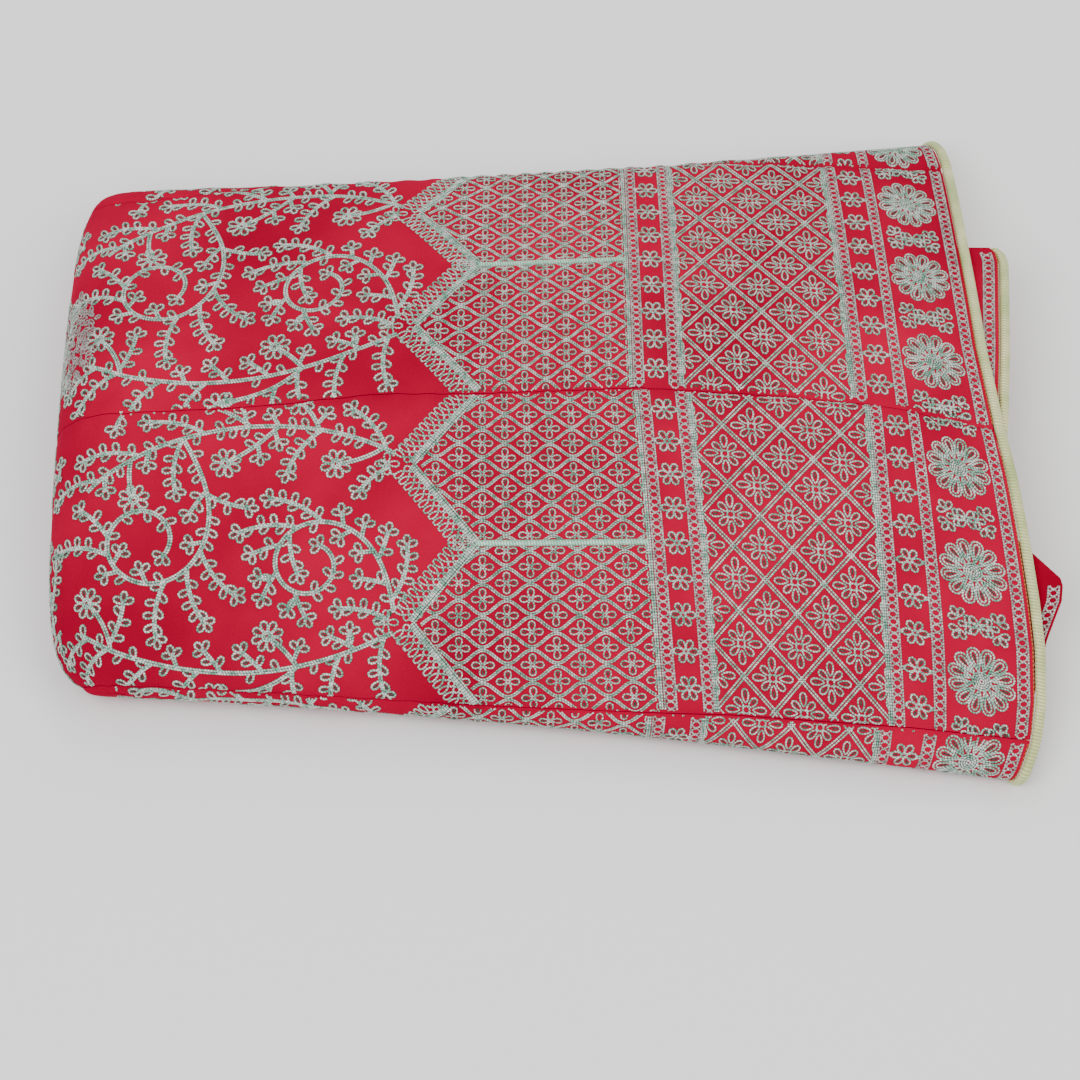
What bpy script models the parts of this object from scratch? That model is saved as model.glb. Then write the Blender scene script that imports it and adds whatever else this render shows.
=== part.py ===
"""Velvet lehenga skirt, folded into quarters along its length and then in half, lying flat.

The hem half lies on top with its border to the right (+X), the cloth turns round the left end,
and the waist half lies underneath. All lengths are in metres, +Z is up and the floor is at z = 0.

Two coordinates place every point of the outer cloth before the bundle is centred:
  x       along the bundle, from the left turn to the hem
  across  along the cloth from the ridge line, positive down the near side (-Y), negative down the far one
"""

import math

import bmesh
import bpy
from mathutils import Vector

# Cloth
WALL = 0.0018
SEAM_GAP = 0.0003
LAYER_GAP = 0.0006

# Outline of the bundle. It widens to the hem, so each side's reach from the ridge is a + b x + c x x.
RIDGE_Y = 0.012
NEAR_REACH = (0.162, 0.092, 0.10)
FAR_REACH = (0.172, 0.088, 0.08)
NEAR_CROWN_ANGLE = math.radians(26)
FAR_CROWN_ANGLE = math.radians(20)
TURN_START_X = -0.216
TURN_REACH = 0.038
CORNER_POWER = 5.0
HEIGHT_AT_TURN = 0.0691
HEIGHT_AT_HEM = 0.0605
NOMINAL_HEM_X = 0.240

# Lower edges of the side wraps, as angles round the roll from its top
WRAP_ANGLE = math.radians(140)
TURN_EDGE_ANGLE = math.radians(84)
WRAP_SWEEP = 0.038

# Underside
WAIST_SEAM_X = 0.185
UNDER_SEAM = 0.86
UNDER_TUCK = 0.85
UNDER_WAIST = 0.74

# Hidden layers
CORE_INSET = 0.0027
CORE_HEM_INSET = 0.0074
CORE_THINS_FROM_X = 0.060
CORE_THINS_TO_X = 0.130
CORE_END_BACK = 0.011
CORE_LIFT_FROM = 0.030
CORE_LIFT_OVER = 0.024
END_LAYERS = 9
END_GROOVE = 0.0040
END_GROOVE_SHARE = 0.15
END_FULL_THICKNESS = 0.012

# The round of a fold's end: the lower this power, the fuller the rib
RIB_FULLNESS = 0.6
FLATS_IN_RIB = 4

# Waistband, folded into one pad of layers, and how far the room that is cut for it runs past it
BAND_LENGTH = 0.034
BAND_HALF_WIDTH = 0.108
BAND_HEIGHT = 0.0205
BAND_ROUND = 0.006
BAND_LAYERS = 4
BAND_GROOVE = 0.0012
BAND_FLATS = 8
BAND_ROOM_LENGTH = 0.080
BAND_ROOM_BELOW = 0.010

# Hem piping: half its width, half its thickness, and how far its middle lies inside the cloth on the top hem
# and below the cloth of the far fold
PIPING_HALF_WIDTH = 0.0027
PIPING_GAP = 0.0008
PIPING_HALF_THICKNESS = 0.0020
HEM_PIPING_INSET = 0.0001
FOLD_PIPING_BELOW = 0.0003

# Outer edge of the top hem with its piping
TOP_HEM = (
    # across, x
    (-0.228, 0.2080),
    (-0.197, 0.2210),
    (-0.187, 0.2252),
    (-0.175, 0.2271),
    (-0.104, 0.2305),
    (-0.035, 0.2346),
    (0.012, 0.2404),
    (0.043, 0.2457),
    (0.076, 0.2500),
    (0.108, 0.2536),
    (0.133, 0.2557),
    (0.160, 0.2555),
    (0.180, 0.2530),
    (0.198, 0.2466),
    (0.214, 0.2400),
)

# Seams between the panels
SEAM_FAR = (
    # x, across
    (-0.216, -0.1430),
    (-0.100, -0.1720),
    (0.050, -0.1830),
    (0.240, -0.1700),
)
SEAM_MIDDLE = (
    # x, across
    (-0.216, 0.0087),
    (-0.147, 0.0039),
    (-0.081, -0.0047),
    (-0.031, -0.0053),
    (0.057, -0.0100),
    (0.135, -0.0053),
    (0.187, 0.0002),
    (0.240, 0.0145),
)
SEAM_NEAR = (
    # x, across
    (-0.216, 0.1571),
    (-0.172, 0.1581),
    (-0.101, 0.1613),
    (-0.030, 0.1644),
    (0.091, 0.1670),
    (0.181, 0.1731),
    (0.240, 0.1792),
)

# Hem folds that show from under the top hem. inset is how far below the outer cloth a fold lies. Its sides
# run from where it leaves the hidden layers, at start, to the outer edge, whose x is given across the fold.
HEM_FOLDS = (
    # name, inset, start, low at start, low at edge, high at start, high at edge, piped
    ("hem_fold_far", 0.0024, 0.100, -0.109, -0.108, 0.020, 0.020, True),
    ("hem_fold_near", 0.0048, 0.134, -0.034, 0.095, 0.120, 0.165, False),
)
HEM_FOLD_EDGES = {
    "hem_fold_far": (
        # across, x
        (-0.108, 0.2478),
        (-0.104, 0.2508),
        (-0.098, 0.2518),
        (-0.084, 0.2509),
        (-0.070, 0.2498),
        (-0.037, 0.2475),
        (-0.005, 0.2446),
        (0.020, 0.2422),
    ),
    "hem_fold_near": (
        # across, x
        (0.095, 0.2655),
        (0.099, 0.2665),
        (0.107, 0.2656),
        (0.117, 0.2616),
        (0.128, 0.2572),
        (0.140, 0.2545),
        (0.152, 0.2512),
        (0.165, 0.2480),
    ),
}

# How finely the curved walls are cut into flats
CROWN_FLATS = 7
BEND_FLATS = 3
WRAP_FLATS = 6
TOP_STATIONS = 8
SWEEP_STATIONS = 6
TURN_STATIONS = 12
UNDER_STATIONS = 4
SIDE_FLATS = 4
LEAST_SHARE = 0.12
FOLD_STATIONS = 4
PIPING_FLATS = 8
HEM_PIPING_STATIONS = 48
FOLD_PIPING_STATIONS = 24

# Mesh tolerances
MERGE_DISTANCE = 1e-6
SHARP_ANGLE = math.radians(50)

VELVET_RED = (0.62, 0.004, 0.028, 1.0)
DEEP_RED = (0.40, 0.003, 0.020, 1.0)
PIPING_GOLD = (0.78, 0.72, 0.42, 1.0)


# Outline functions


def between(low, high, share):
    return low + (high - low) * share


def smooth(share):
    share = min(1.0, max(0.0, share))
    return share * share * (3 - 2 * share)


def read_table(rows, key):
    """The second column of a two-column table, read at key in straight lines between its rows."""
    if key <= rows[0][0]:
        return rows[0][1]
    for (low, at_low), (high, at_high) in zip(rows, rows[1:]):
        if key <= high:
            return between(at_low, at_high, (key - low) / (high - low))
    return rows[-1][1]


def height(x):
    return between(HEIGHT_AT_TURN, HEIGHT_AT_HEM, (x - TURN_START_X) / (NOMINAL_HEM_X - TURN_START_X))


class HalfSection:
    """One side of the bundle's cross-section: a crown arc from the ridge, then a roll down to the floor."""

    def __init__(self, x, near):
        start, slope, flare = NEAR_REACH if near else FAR_REACH
        self.reach = start + slope * x + flare * x * x
        self.crown_angle = NEAR_CROWN_ANGLE if near else FAR_CROWN_ANGLE
        sine, cosine = math.sin(self.crown_angle), math.cos(self.crown_angle)
        spread = (2 * self.reach - height(x)) / (2 * sine - 1 + cosine)
        self.roll_y = spread * sine
        self.roll = self.reach - self.roll_y
        self.crown = spread + self.roll
        self.crown_z = height(x) - self.crown
        self.crown_length = self.crown * self.crown_angle
        self.under_length = self.roll_y + self.roll * math.pi / 2

    def along(self, angle):
        """Length over the cloth from the ridge to an angle round the roll, counted from its top."""
        return self.crown_length + self.roll * (angle - self.crown_angle)

    def upper(self, length, inset):
        """(distance out from the ridge line, height) at a length over the cloth, for a layer inset inside."""
        if length <= self.crown_length:
            angle = length / self.crown
            radius = self.crown - inset
            return radius * math.sin(angle), self.crown_z + radius * math.cos(angle)
        angle = self.crown_angle + (length - self.crown_length) / self.roll
        radius = self.roll - inset
        return self.roll_y + radius * math.sin(angle), self.roll + radius * math.cos(angle)

    def lower(self, length, inset):
        """The same for the underside, with the length counted from under the ridge line."""
        angle = max(0.0, length - self.roll_y) / self.roll
        radius = self.roll - inset
        return min(length, self.roll_y) + radius * math.sin(angle), self.roll - radius * math.cos(angle)


def turn_section(across):
    return HalfSection(TURN_START_X, across >= 0)


def placed(x, across, out, z):
    return Vector((x, RIDGE_Y - math.copysign(out, across), z))


def upper_point(x, across, inset):
    return placed(x, across, *HalfSection(x, across >= 0).upper(abs(across), inset))


def under_share(across):
    """How far out a station of the turn comes on the underside, as a share of the half width there."""
    seam = read_table(SEAM_NEAR, TURN_START_X) if across >= 0 else -read_table(SEAM_FAR, TURN_START_X)
    side = turn_section(across).along(math.pi / 2)
    length = abs(across)
    if length <= seam:
        return UNDER_SEAM * length / seam
    return between(UNDER_SEAM, 1.0, (length - seam) / (side - seam))


def turn_point(across, angle, inset):
    """A point of the left turn: angle 0 is where the top meets it and pi is where the underside leaves it."""
    section = turn_section(across)
    out_above, above = section.upper(abs(across), inset)
    out_below, below = section.lower(under_share(across) * section.under_length, inset)
    out = between(out_above, out_below, smooth(angle / math.pi))
    share = min(1.0, out_above / (section.reach - inset))
    reach = (TURN_REACH - inset) * (1 - share**CORNER_POWER) ** (1 / CORNER_POWER)
    middle, half = (above + below) / 2, (above - below) / 2
    return placed(TURN_START_X - reach * math.sin(angle), across, out, middle + half * math.cos(angle))


def under_point(x, across, inset, tuck):
    """A point of the underside. tuck draws it in from the full width."""
    section = HalfSection(x, across >= 0)
    return placed(x, across, *section.lower(under_share(across) * section.under_length * tuck, inset))


def seam_far(x):
    return read_table(SEAM_FAR, x)


def seam_middle(x):
    return read_table(SEAM_MIDDLE, x)


def seam_near(x):
    return read_table(SEAM_NEAR, x)


def swept(x):
    """0 at the left turn and 1 where the side wraps have reached their full depth."""
    return smooth((x - TURN_START_X) / WRAP_SWEEP)


def near_wrap(x):
    return HalfSection(x, True).along(between(TURN_EDGE_ANGLE, WRAP_ANGLE, swept(x)))


def far_wrap(x):
    return -HalfSection(x, False).along(between(TURN_EDGE_ANGLE, WRAP_ANGLE, swept(x)))


def near_side(x):
    return HalfSection(x, True).along(math.pi / 2)


def far_side(x):
    return -HalfSection(x, False).along(math.pi / 2)


def near_crown_edge(x):
    return HalfSection(x, True).crown_length


def far_crown_edge(x):
    return -HalfSection(x, False).crown_length


def steps(low, high, count):
    return [between(low, high, i / count) for i in range(count + 1)]


def stations(low, bend, high, before, after):
    """Stations from low to high, one of them where the crown meets the roll, if that lies between."""
    margin = LEAST_SHARE * (high - low)
    bend = min(max(bend, low + margin), high - margin)
    return steps(low, bend, before)[:-1] + steps(bend, high, after)


def top_rows():
    """(x, share of the way from the turn to the hem) for each row of the top, from the hem to the turn."""
    sweep_end = TURN_START_X + WRAP_SWEEP
    xs = steps(NOMINAL_HEM_X, sweep_end, TOP_STATIONS)[:-1] + steps(sweep_end, TURN_START_X, SWEEP_STATIONS)
    return [(x, (x - TURN_START_X) / (NOMINAL_HEM_X - TURN_START_X)) for x in xs]


# The four panels of the outer cloth: name, two sides, the bend between them, and flats before and after it
PANELS = (
    ("panel_far_side", far_wrap, far_crown_edge, seam_far, WRAP_FLATS, 1),
    ("panel_far", seam_far, far_crown_edge, seam_middle, BEND_FLATS, CROWN_FLATS),
    ("panel_near", seam_middle, near_crown_edge, seam_near, CROWN_FLATS, BEND_FLATS),
    ("panel_near_side", seam_near, near_crown_edge, near_wrap, 1, WRAP_FLATS),
)


# Mesh helpers


def material(name, colour, roughness, metallic=0.0):
    made = bpy.data.materials.new(name)
    made.use_nodes = True
    shader = made.node_tree.nodes["Principled BSDF"]
    shader.inputs["Base Color"].default_value = colour
    shader.inputs["Roughness"].default_value = roughness
    shader.inputs["Metallic"].default_value = metallic
    return made


def finish_mesh(name, mesh_data, surface):
    bmesh.ops.remove_doubles(mesh_data, verts=mesh_data.verts, dist=MERGE_DISTANCE)
    bmesh.ops.dissolve_degenerate(mesh_data, edges=mesh_data.edges, dist=MERGE_DISTANCE)
    bmesh.ops.recalc_face_normals(mesh_data, faces=mesh_data.faces)
    mesh = bpy.data.meshes.new(name)
    mesh_data.to_mesh(mesh)
    mesh_data.free()
    mesh.materials.append(surface)
    mesh.shade_smooth()
    mesh.set_sharp_from_angle(angle=SHARP_ANGLE)
    made = bpy.data.objects.new(name, mesh)
    bpy.context.scene.collection.objects.link(made)
    return made


def grid_faces(mesh_data, rows):
    """Faces between neighbouring rows of vertices."""
    for row, after in zip(rows, rows[1:]):
        for j in range(len(row) - 1):
            mesh_data.faces.new((row[j], row[j + 1], after[j + 1], after[j]))


def wall_solid(name, outer, inner, surface):
    """A closed wall between two grids of points with the same rows and columns."""
    made = bmesh.new()
    outside = [[made.verts.new(point) for point in row] for row in outer]
    inside = [[made.verts.new(point) for point in row] for row in inner]
    grid_faces(made, outside)
    grid_faces(made, [row[::-1] for row in inside])
    grid_faces(made, [outside[0], inside[0]])
    grid_faces(made, [outside[-1], inside[-1]])
    grid_faces(made, [[row[0] for row in outside], [row[0] for row in inside]])
    grid_faces(made, [[row[-1] for row in outside], [row[-1] for row in inside]])
    return finish_mesh(name, made, surface)


# Outer panels, each one cloth from the hem over the left turn to the waist seam


def panel_rows(low, bend, high, before, after, inset):
    def row_stations(x):
        return stations(low(x) + SEAM_GAP / 2, bend(x), high(x) - SEAM_GAP / 2, before, after)

    rows = []
    for x, share in top_rows():
        row = []
        for across in row_stations(x):
            hem = read_table(TOP_HEM, across) - 2 * PIPING_HALF_WIDTH - PIPING_GAP
            row.append(upper_point(between(TURN_START_X, hem, share), across, inset))
        rows.append(row)
    turned = row_stations(TURN_START_X)
    for angle in steps(0.0, math.pi, TURN_STATIONS)[1:]:
        rows.append([turn_point(across, angle, inset) for across in turned])
    sweep_end = TURN_START_X + WRAP_SWEEP
    for x in steps(TURN_START_X, sweep_end, SWEEP_STATIONS)[1:]:
        tuck = between(1.0, UNDER_TUCK, swept(x))
        rows.append([under_point(x, across, inset, tuck) for across in turned])
    for share in steps(0.0, 1.0, UNDER_STATIONS)[1:]:
        x = between(sweep_end, WAIST_SEAM_X - SEAM_GAP, share)
        tuck = between(UNDER_TUCK, UNDER_WAIST, share)
        rows.append([under_point(x, across, inset, tuck) for across in turned])
    return rows


def panel(name, low, bend, high, before, after, surface):
    sides = (low, bend, high, before, after)
    return wall_solid(name, panel_rows(*sides, 0.0), panel_rows(*sides, WALL), surface)


# Hidden layers


def core_inset(x):
    thins = (x - CORE_THINS_FROM_X) / (CORE_THINS_TO_X - CORE_THINS_FROM_X)
    return between(CORE_INSET, CORE_HEM_INSET, min(1.0, max(0.0, thins)))


def core_stations(x):
    """Stations that follow the panels' seams and bends, from one side of the bundle to the other."""
    found = stations(far_side(x), far_crown_edge(x), seam_far(x), SIDE_FLATS, 1)[:-1]
    found += stations(seam_far(x), far_crown_edge(x), seam_middle(x), BEND_FLATS, CROWN_FLATS)[:-1]
    found += stations(seam_middle(x), near_crown_edge(x), seam_near(x), CROWN_FLATS, BEND_FLATS)[:-1]
    return found + stations(seam_near(x), near_crown_edge(x), near_side(x), 1, SIDE_FLATS)


def core_under(x, turned, inset):
    """The hidden layers rest on the underside panels, and rise clear of the side wraps towards the hem."""
    section = HalfSection(x, turned >= 0)
    length = under_share(turned) * section.under_length
    out, z = section.lower(length, inset)
    lifted = smooth((length - section.roll_y + CORE_LIFT_FROM) / CORE_LIFT_OVER)
    return placed(x, turned, out, z - (inset - CORE_INSET) * (1 - lifted))


def folded_layers(surface):
    turned = core_stations(TURN_START_X)
    above, below = [], []
    for nominal, share in top_rows():
        row_above, row_below = [], []
        for across, across_turned in zip(core_stations(nominal), turned):
            x = between(TURN_START_X, read_table(TOP_HEM, across) - CORE_END_BACK, share)
            row_above.append(upper_point(x, across, core_inset(x)))
            row_below.append(core_under(x, across_turned, core_inset(x)))
        # The top and the underside meet along both sides
        row_below[0], row_below[-1] = row_above[0], row_above[-1]
        above.append(row_above)
        below.append(row_below)
    turn = []
    for angle in steps(0.0, math.pi, TURN_STATIONS)[1:-1]:
        turn.append([turn_point(across, angle, CORE_INSET) for across in turned])
    made = bmesh.new()
    rows = [[made.verts.new(point) for point in row] for row in above + turn + below[::-1]]
    grid_faces(made, rows)
    end_face(made, rows[0], rows[-1])
    return finish_mesh("folded_layers", made, surface)


def end_face(made, top, bottom):
    """The ends of the stacked folds: one rounded rib for each layer."""
    count = END_LAYERS * FLATS_IN_RIB
    rows = [top]
    for i in range(1, count):
        share = i / count
        rib = abs(math.sin(math.pi * END_LAYERS * share))
        row = []
        for high, low in zip(top, bottom):
            point = high.co.lerp(low.co, share)
            thick = min(1.0, (high.co.z - low.co.z) / END_FULL_THICKNESS)
            point.x += (rib**RIB_FULLNESS - END_GROOVE_SHARE) * END_GROOVE * thick
            row.append(made.verts.new(point))
        rows.append(row)
    rows.append(bottom)
    grid_faces(made, rows)


def cut_for_waistband(core):
    """Room under the hem half for the waistband pad."""
    bpy.ops.mesh.primitive_cube_add(size=1.0)
    cutter = bpy.context.object
    cutter.name = "waistband_room"
    half = BAND_HALF_WIDTH + LAYER_GAP
    low = Vector((WAIST_SEAM_X, RIDGE_Y - half, -BAND_ROOM_BELOW))
    high = Vector((WAIST_SEAM_X + BAND_ROOM_LENGTH, RIDGE_Y + half, BAND_HEIGHT + LAYER_GAP))
    middle = (low + high) / 2
    for vertex in cutter.data.vertices:
        vertex.co = Vector([vertex.co[k] * (high[k] - low[k]) + middle[k] for k in range(3)])
    cutter.hide_render = True
    cutter.display_type = "WIRE"
    cut = core.modifiers.new("waistband_room", "BOOLEAN")
    cut.operation = "DIFFERENCE"
    cut.object = cutter


# Hem folds and piping


def hem_fold(name, inset, start, low_start, low_edge, high_start, high_edge, piped, velvet, gold):
    edge = HEM_FOLD_EDGES[name]
    back = 2 * PIPING_HALF_WIDTH + PIPING_GAP if piped else 0.0
    outer, inner = [], []
    for t in steps(0.0, 1.0, FOLD_STATIONS):
        row_outer, row_inner = [], []
        for edge_across, edge_x in edge:
            share = (edge_across - low_edge) / (high_edge - low_edge)
            across = between(between(low_start, high_start, share), edge_across, t)
            x = between(start, edge_x - back, t)
            row_outer.append(upper_point(x, across, inset))
            row_inner.append(upper_point(x, across, inset + WALL))
        outer.append(row_outer)
        inner.append(row_inner)
    wall_solid(name, outer, inner, velvet)
    if piped:
        piping_inset = inset + WALL + FOLD_PIPING_BELOW
        piping(name + "_piping", edge, low_edge, high_edge, FOLD_PIPING_STATIONS, piping_inset, gold)


def piping(name, edge, low, high, count, inset, surface):
    """A flattened cord along an edge read from a table, with its middle that far inside the outer cloth."""
    made = bmesh.new()
    rings = []
    for across in steps(low, high, count):
        x = read_table(edge, across) - PIPING_HALF_WIDTH
        ring = []
        for k in range(PIPING_FLATS):
            turn = 2 * math.pi * k / PIPING_FLATS
            aside = x + PIPING_HALF_WIDTH * math.cos(turn)
            below = inset - PIPING_HALF_THICKNESS * math.sin(turn)
            ring.append(made.verts.new(upper_point(aside, across, below)))
        rings.append(ring)
    grid_faces(made, [ring + ring[:1] for ring in rings])
    made.faces.new(rings[0])
    made.faces.new(rings[-1][::-1])
    return finish_mesh(name, made, surface)


# Waistband


def waistband(surface):
    """A pad of folded band: a rounded slab with a groove between each two layers."""
    made = bmesh.new()
    count = BAND_LAYERS * FLATS_IN_RIB
    profile = []
    for i in range(count + 1):
        share = i / count
        rib = abs(math.sin(math.pi * BAND_LAYERS * share))
        profile.append((share * BAND_HEIGHT, BAND_GROOVE * rib**RIB_FULLNESS))
    rows = []
    for z, out in profile:
        turned_in = BAND_ROUND * (1 - math.sqrt(max(0.0, 1 - (2 * z / BAND_HEIGHT - 1) ** 2)))
        half = BAND_HALF_WIDTH - BAND_GROOVE + out - turned_in
        end_x = WAIST_SEAM_X + BAND_LENGTH - BAND_GROOVE + out
        start_x = WAIST_SEAM_X + SEAM_GAP
        corners = []
        for y in steps(-half, half, BAND_FLATS):
            corners.append((end_x, y))
        for y in steps(half, -half, BAND_FLATS):
            corners.append((start_x, y))
        rows.append([made.verts.new((x, RIDGE_Y + y, z)) for x, y in corners])
    for row, after in zip(rows, rows[1:]):
        for j in range(len(row)):
            k = (j + 1) % len(row)
            made.faces.new((row[j], row[k], after[k], after[j]))
    made.faces.new(rows[0])
    made.faces.new(rows[-1][::-1])
    return finish_mesh("waistband", made, surface)


# Build


def centre_on_origin():
    """Moves every piece so that the middle of the bundle's box is over the origin."""
    bpy.context.view_layer.update()
    graph = bpy.context.evaluated_depsgraph_get()
    low, high = Vector((9.0, 9.0, 9.0)), Vector((-9.0, -9.0, -9.0))
    for piece in bpy.data.objects:
        if piece.hide_render:
            continue
        for corner in piece.evaluated_get(graph).bound_box:
            low = Vector(map(min, low, corner))
            high = Vector(map(max, high, corner))
    middle = (low + high) / 2
    for piece in bpy.data.objects:
        piece.location -= Vector((middle.x, middle.y, low.z))


def main():
    for leftover in list(bpy.data.objects):
        bpy.data.objects.remove(leftover)
    velvet = material("velvet", VELVET_RED, 0.85)
    inner_velvet = material("inner_velvet", DEEP_RED, 0.9)
    gold = material("piping_gold", PIPING_GOLD, 0.45, 0.3)
    for row in PANELS:
        panel(*row, velvet)
    core = folded_layers(inner_velvet)
    cut_for_waistband(core)
    for row in HEM_FOLDS:
        hem_fold(*row, velvet, gold)
    hem_ends = far_wrap(NOMINAL_HEM_X), near_wrap(NOMINAL_HEM_X)
    piping("hem_piping", TOP_HEM, *hem_ends, HEM_PIPING_STATIONS, HEM_PIPING_INSET, gold)
    waistband(velvet)
    centre_on_origin()


main()
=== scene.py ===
# %% [markdown]
# # A folded velvet lehenga skirt
# A lehenga is a floor-length skirt sewn from long tapered panels. This one is crimson velvet, covered with
# looped metallic cord: bands of flowers and lattices above the hem, and a leafy vine from there up to the
# waist. It is folded lengthwise, then in half, so that the hem border lies on top at the right. The solids
# of the bundle come from the frame. This script gives them their cloth, cords, light and camera.

# %% Load the frame
import math

import bpy
import numpy as np
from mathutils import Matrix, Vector


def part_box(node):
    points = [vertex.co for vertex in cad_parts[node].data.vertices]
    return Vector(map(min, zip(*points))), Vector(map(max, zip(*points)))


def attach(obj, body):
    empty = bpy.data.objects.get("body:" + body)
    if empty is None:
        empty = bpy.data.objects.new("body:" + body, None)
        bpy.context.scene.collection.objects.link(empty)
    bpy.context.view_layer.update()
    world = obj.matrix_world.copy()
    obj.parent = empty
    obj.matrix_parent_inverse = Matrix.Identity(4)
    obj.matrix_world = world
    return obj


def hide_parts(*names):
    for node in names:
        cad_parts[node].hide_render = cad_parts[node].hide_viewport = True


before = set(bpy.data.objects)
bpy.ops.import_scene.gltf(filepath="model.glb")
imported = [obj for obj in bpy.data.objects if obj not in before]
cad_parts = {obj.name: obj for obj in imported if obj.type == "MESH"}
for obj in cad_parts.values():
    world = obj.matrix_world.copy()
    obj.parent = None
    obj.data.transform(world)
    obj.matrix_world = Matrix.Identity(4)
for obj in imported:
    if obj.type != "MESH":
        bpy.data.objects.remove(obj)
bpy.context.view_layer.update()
print("solids:", sorted(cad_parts))

# %% [markdown]
# ## Where everything is
# The bundle's shape is worked out from a few sizes, the same ones as its solids have. A point of the cloth
# is named by how far it is along the bundle (x) and how far across the cloth from the ridge (across,
# positive to the near side). The waistband's solid tells where that system lies in the frame.

# %% Sizes of the bundle, in metres
RIDGE_Y = 0.012
TURN_X = -0.216
HEM_X = 0.240
TURN_REACH = 0.038
CORNER_POWER = 5.0
HEIGHT_AT_TURN = 0.0691
HEIGHT_AT_HEM = 0.0605
NEAR_CROWN_ANGLE = math.radians(26)
FAR_CROWN_ANGLE = math.radians(20)
WRAP_ANGLE = math.radians(140)
WRAP_SWEEP = 0.038
WAIST_SEAM_X = 0.185
UNDER_SEAM = 0.86
UNDER_TUCK = 0.85
UNDER_WAIST = 0.74
SEAM_GAP = 0.0003
PIPING_HALF_WIDTH = 0.0027
PIPING_HALF_THICKNESS = 0.0020
PIPING_GAP = 0.0008
TURN_LENGTH = 0.114

TOP_HEM = (
    # across, x
    (-0.228, 0.2080),
    (-0.197, 0.2210),
    (-0.187, 0.2252),
    (-0.175, 0.2271),
    (-0.104, 0.2305),
    (-0.035, 0.2346),
    (0.012, 0.2404),
    (0.043, 0.2457),
    (0.076, 0.2500),
    (0.108, 0.2536),
    (0.133, 0.2557),
    (0.160, 0.2555),
    (0.180, 0.2530),
    (0.198, 0.2466),
    (0.214, 0.2400),
)
SEAM_FAR = (
    # x, across
    (-0.216, -0.1430),
    (-0.100, -0.1720),
    (0.050, -0.1830),
    (0.240, -0.1700),
)
SEAM_MIDDLE = (
    # x, across
    (-0.216, 0.0087),
    (-0.147, 0.0039),
    (-0.081, -0.0047),
    (-0.031, -0.0053),
    (0.057, -0.0100),
    (0.135, -0.0053),
    (0.187, 0.0002),
    (0.240, 0.0145),
)
SEAM_NEAR = (
    # x, across
    (-0.216, 0.1571),
    (-0.172, 0.1581),
    (-0.101, 0.1613),
    (-0.030, 0.1644),
    (0.091, 0.1670),
    (0.181, 0.1731),
    (0.240, 0.1792),
)

band_low, band_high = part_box("waistband")
SHIFT_X = band_low[0] - (WAIST_SEAM_X + SEAM_GAP)
SHIFT_Y = (band_low[1] + band_high[1]) / 2 - RIDGE_Y
print("the bundle's own zero lies at", round(SHIFT_X, 4), round(SHIFT_Y, 4))

# %% Read a short table at many places at once


def read_table(rows, keys):
    return np.interp(keys, [row[0] for row in rows], [row[1] for row in rows])


def between(low, high, share):
    return low + (high - low) * share


def smooth(share):
    share = np.clip(share, 0.0, 1.0)
    return share * share * (3 - 2 * share)


# %% The bundle's cross-section
# Half width where x is 0, and how it grows with x and with x squared
NEAR_REACH = (0.162, 0.092, 0.10)
FAR_REACH = (0.172, 0.088, 0.08)


def reach_at(x, row):
    middle, slope, bend = row
    return middle + slope * x + bend * x * x


class Section:
    """The bundle cut across at x: to each side a crown arc from the ridge, then a roll down to the floor."""

    def __init__(self, x, near):
        self.reach = np.where(near, reach_at(x, NEAR_REACH), reach_at(x, FAR_REACH))
        self.angle = np.where(near, NEAR_CROWN_ANGLE, FAR_CROWN_ANGLE)
        height = between(HEIGHT_AT_TURN, HEIGHT_AT_HEM, (x - TURN_X) / (HEM_X - TURN_X))
        sine, cosine = np.sin(self.angle), np.cos(self.angle)
        spread = (2 * self.reach - height) / (2 * sine - 1 + cosine)
        self.roll_y = spread * sine
        self.roll = self.reach - self.roll_y
        self.crown = spread + self.roll
        self.crown_z = height - self.crown
        self.crown_length = self.crown * self.angle
        self.under_length = self.roll_y + self.roll * math.pi / 2

    def along(self, angle):
        return self.crown_length + self.roll * (angle - self.angle)

    def upper(self, length, lift):
        on_crown = length / self.crown
        on_roll = self.angle + (length - self.crown_length) / self.roll
        crowned = length <= self.crown_length
        out_crown = (self.crown + lift) * np.sin(on_crown)
        out_roll = self.roll_y + (self.roll + lift) * np.sin(on_roll)
        z_crown = self.crown_z + (self.crown + lift) * np.cos(on_crown)
        z_roll = self.roll + (self.roll + lift) * np.cos(on_roll)
        return np.where(crowned, out_crown, out_roll), np.where(crowned, z_crown, z_roll)

    def lower(self, length, lift):
        angle = np.maximum(0.0, length - self.roll_y) / self.roll
        radius = self.roll + lift
        return np.minimum(length, self.roll_y) + radius * np.sin(angle), self.roll - radius * np.cos(angle)
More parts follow.
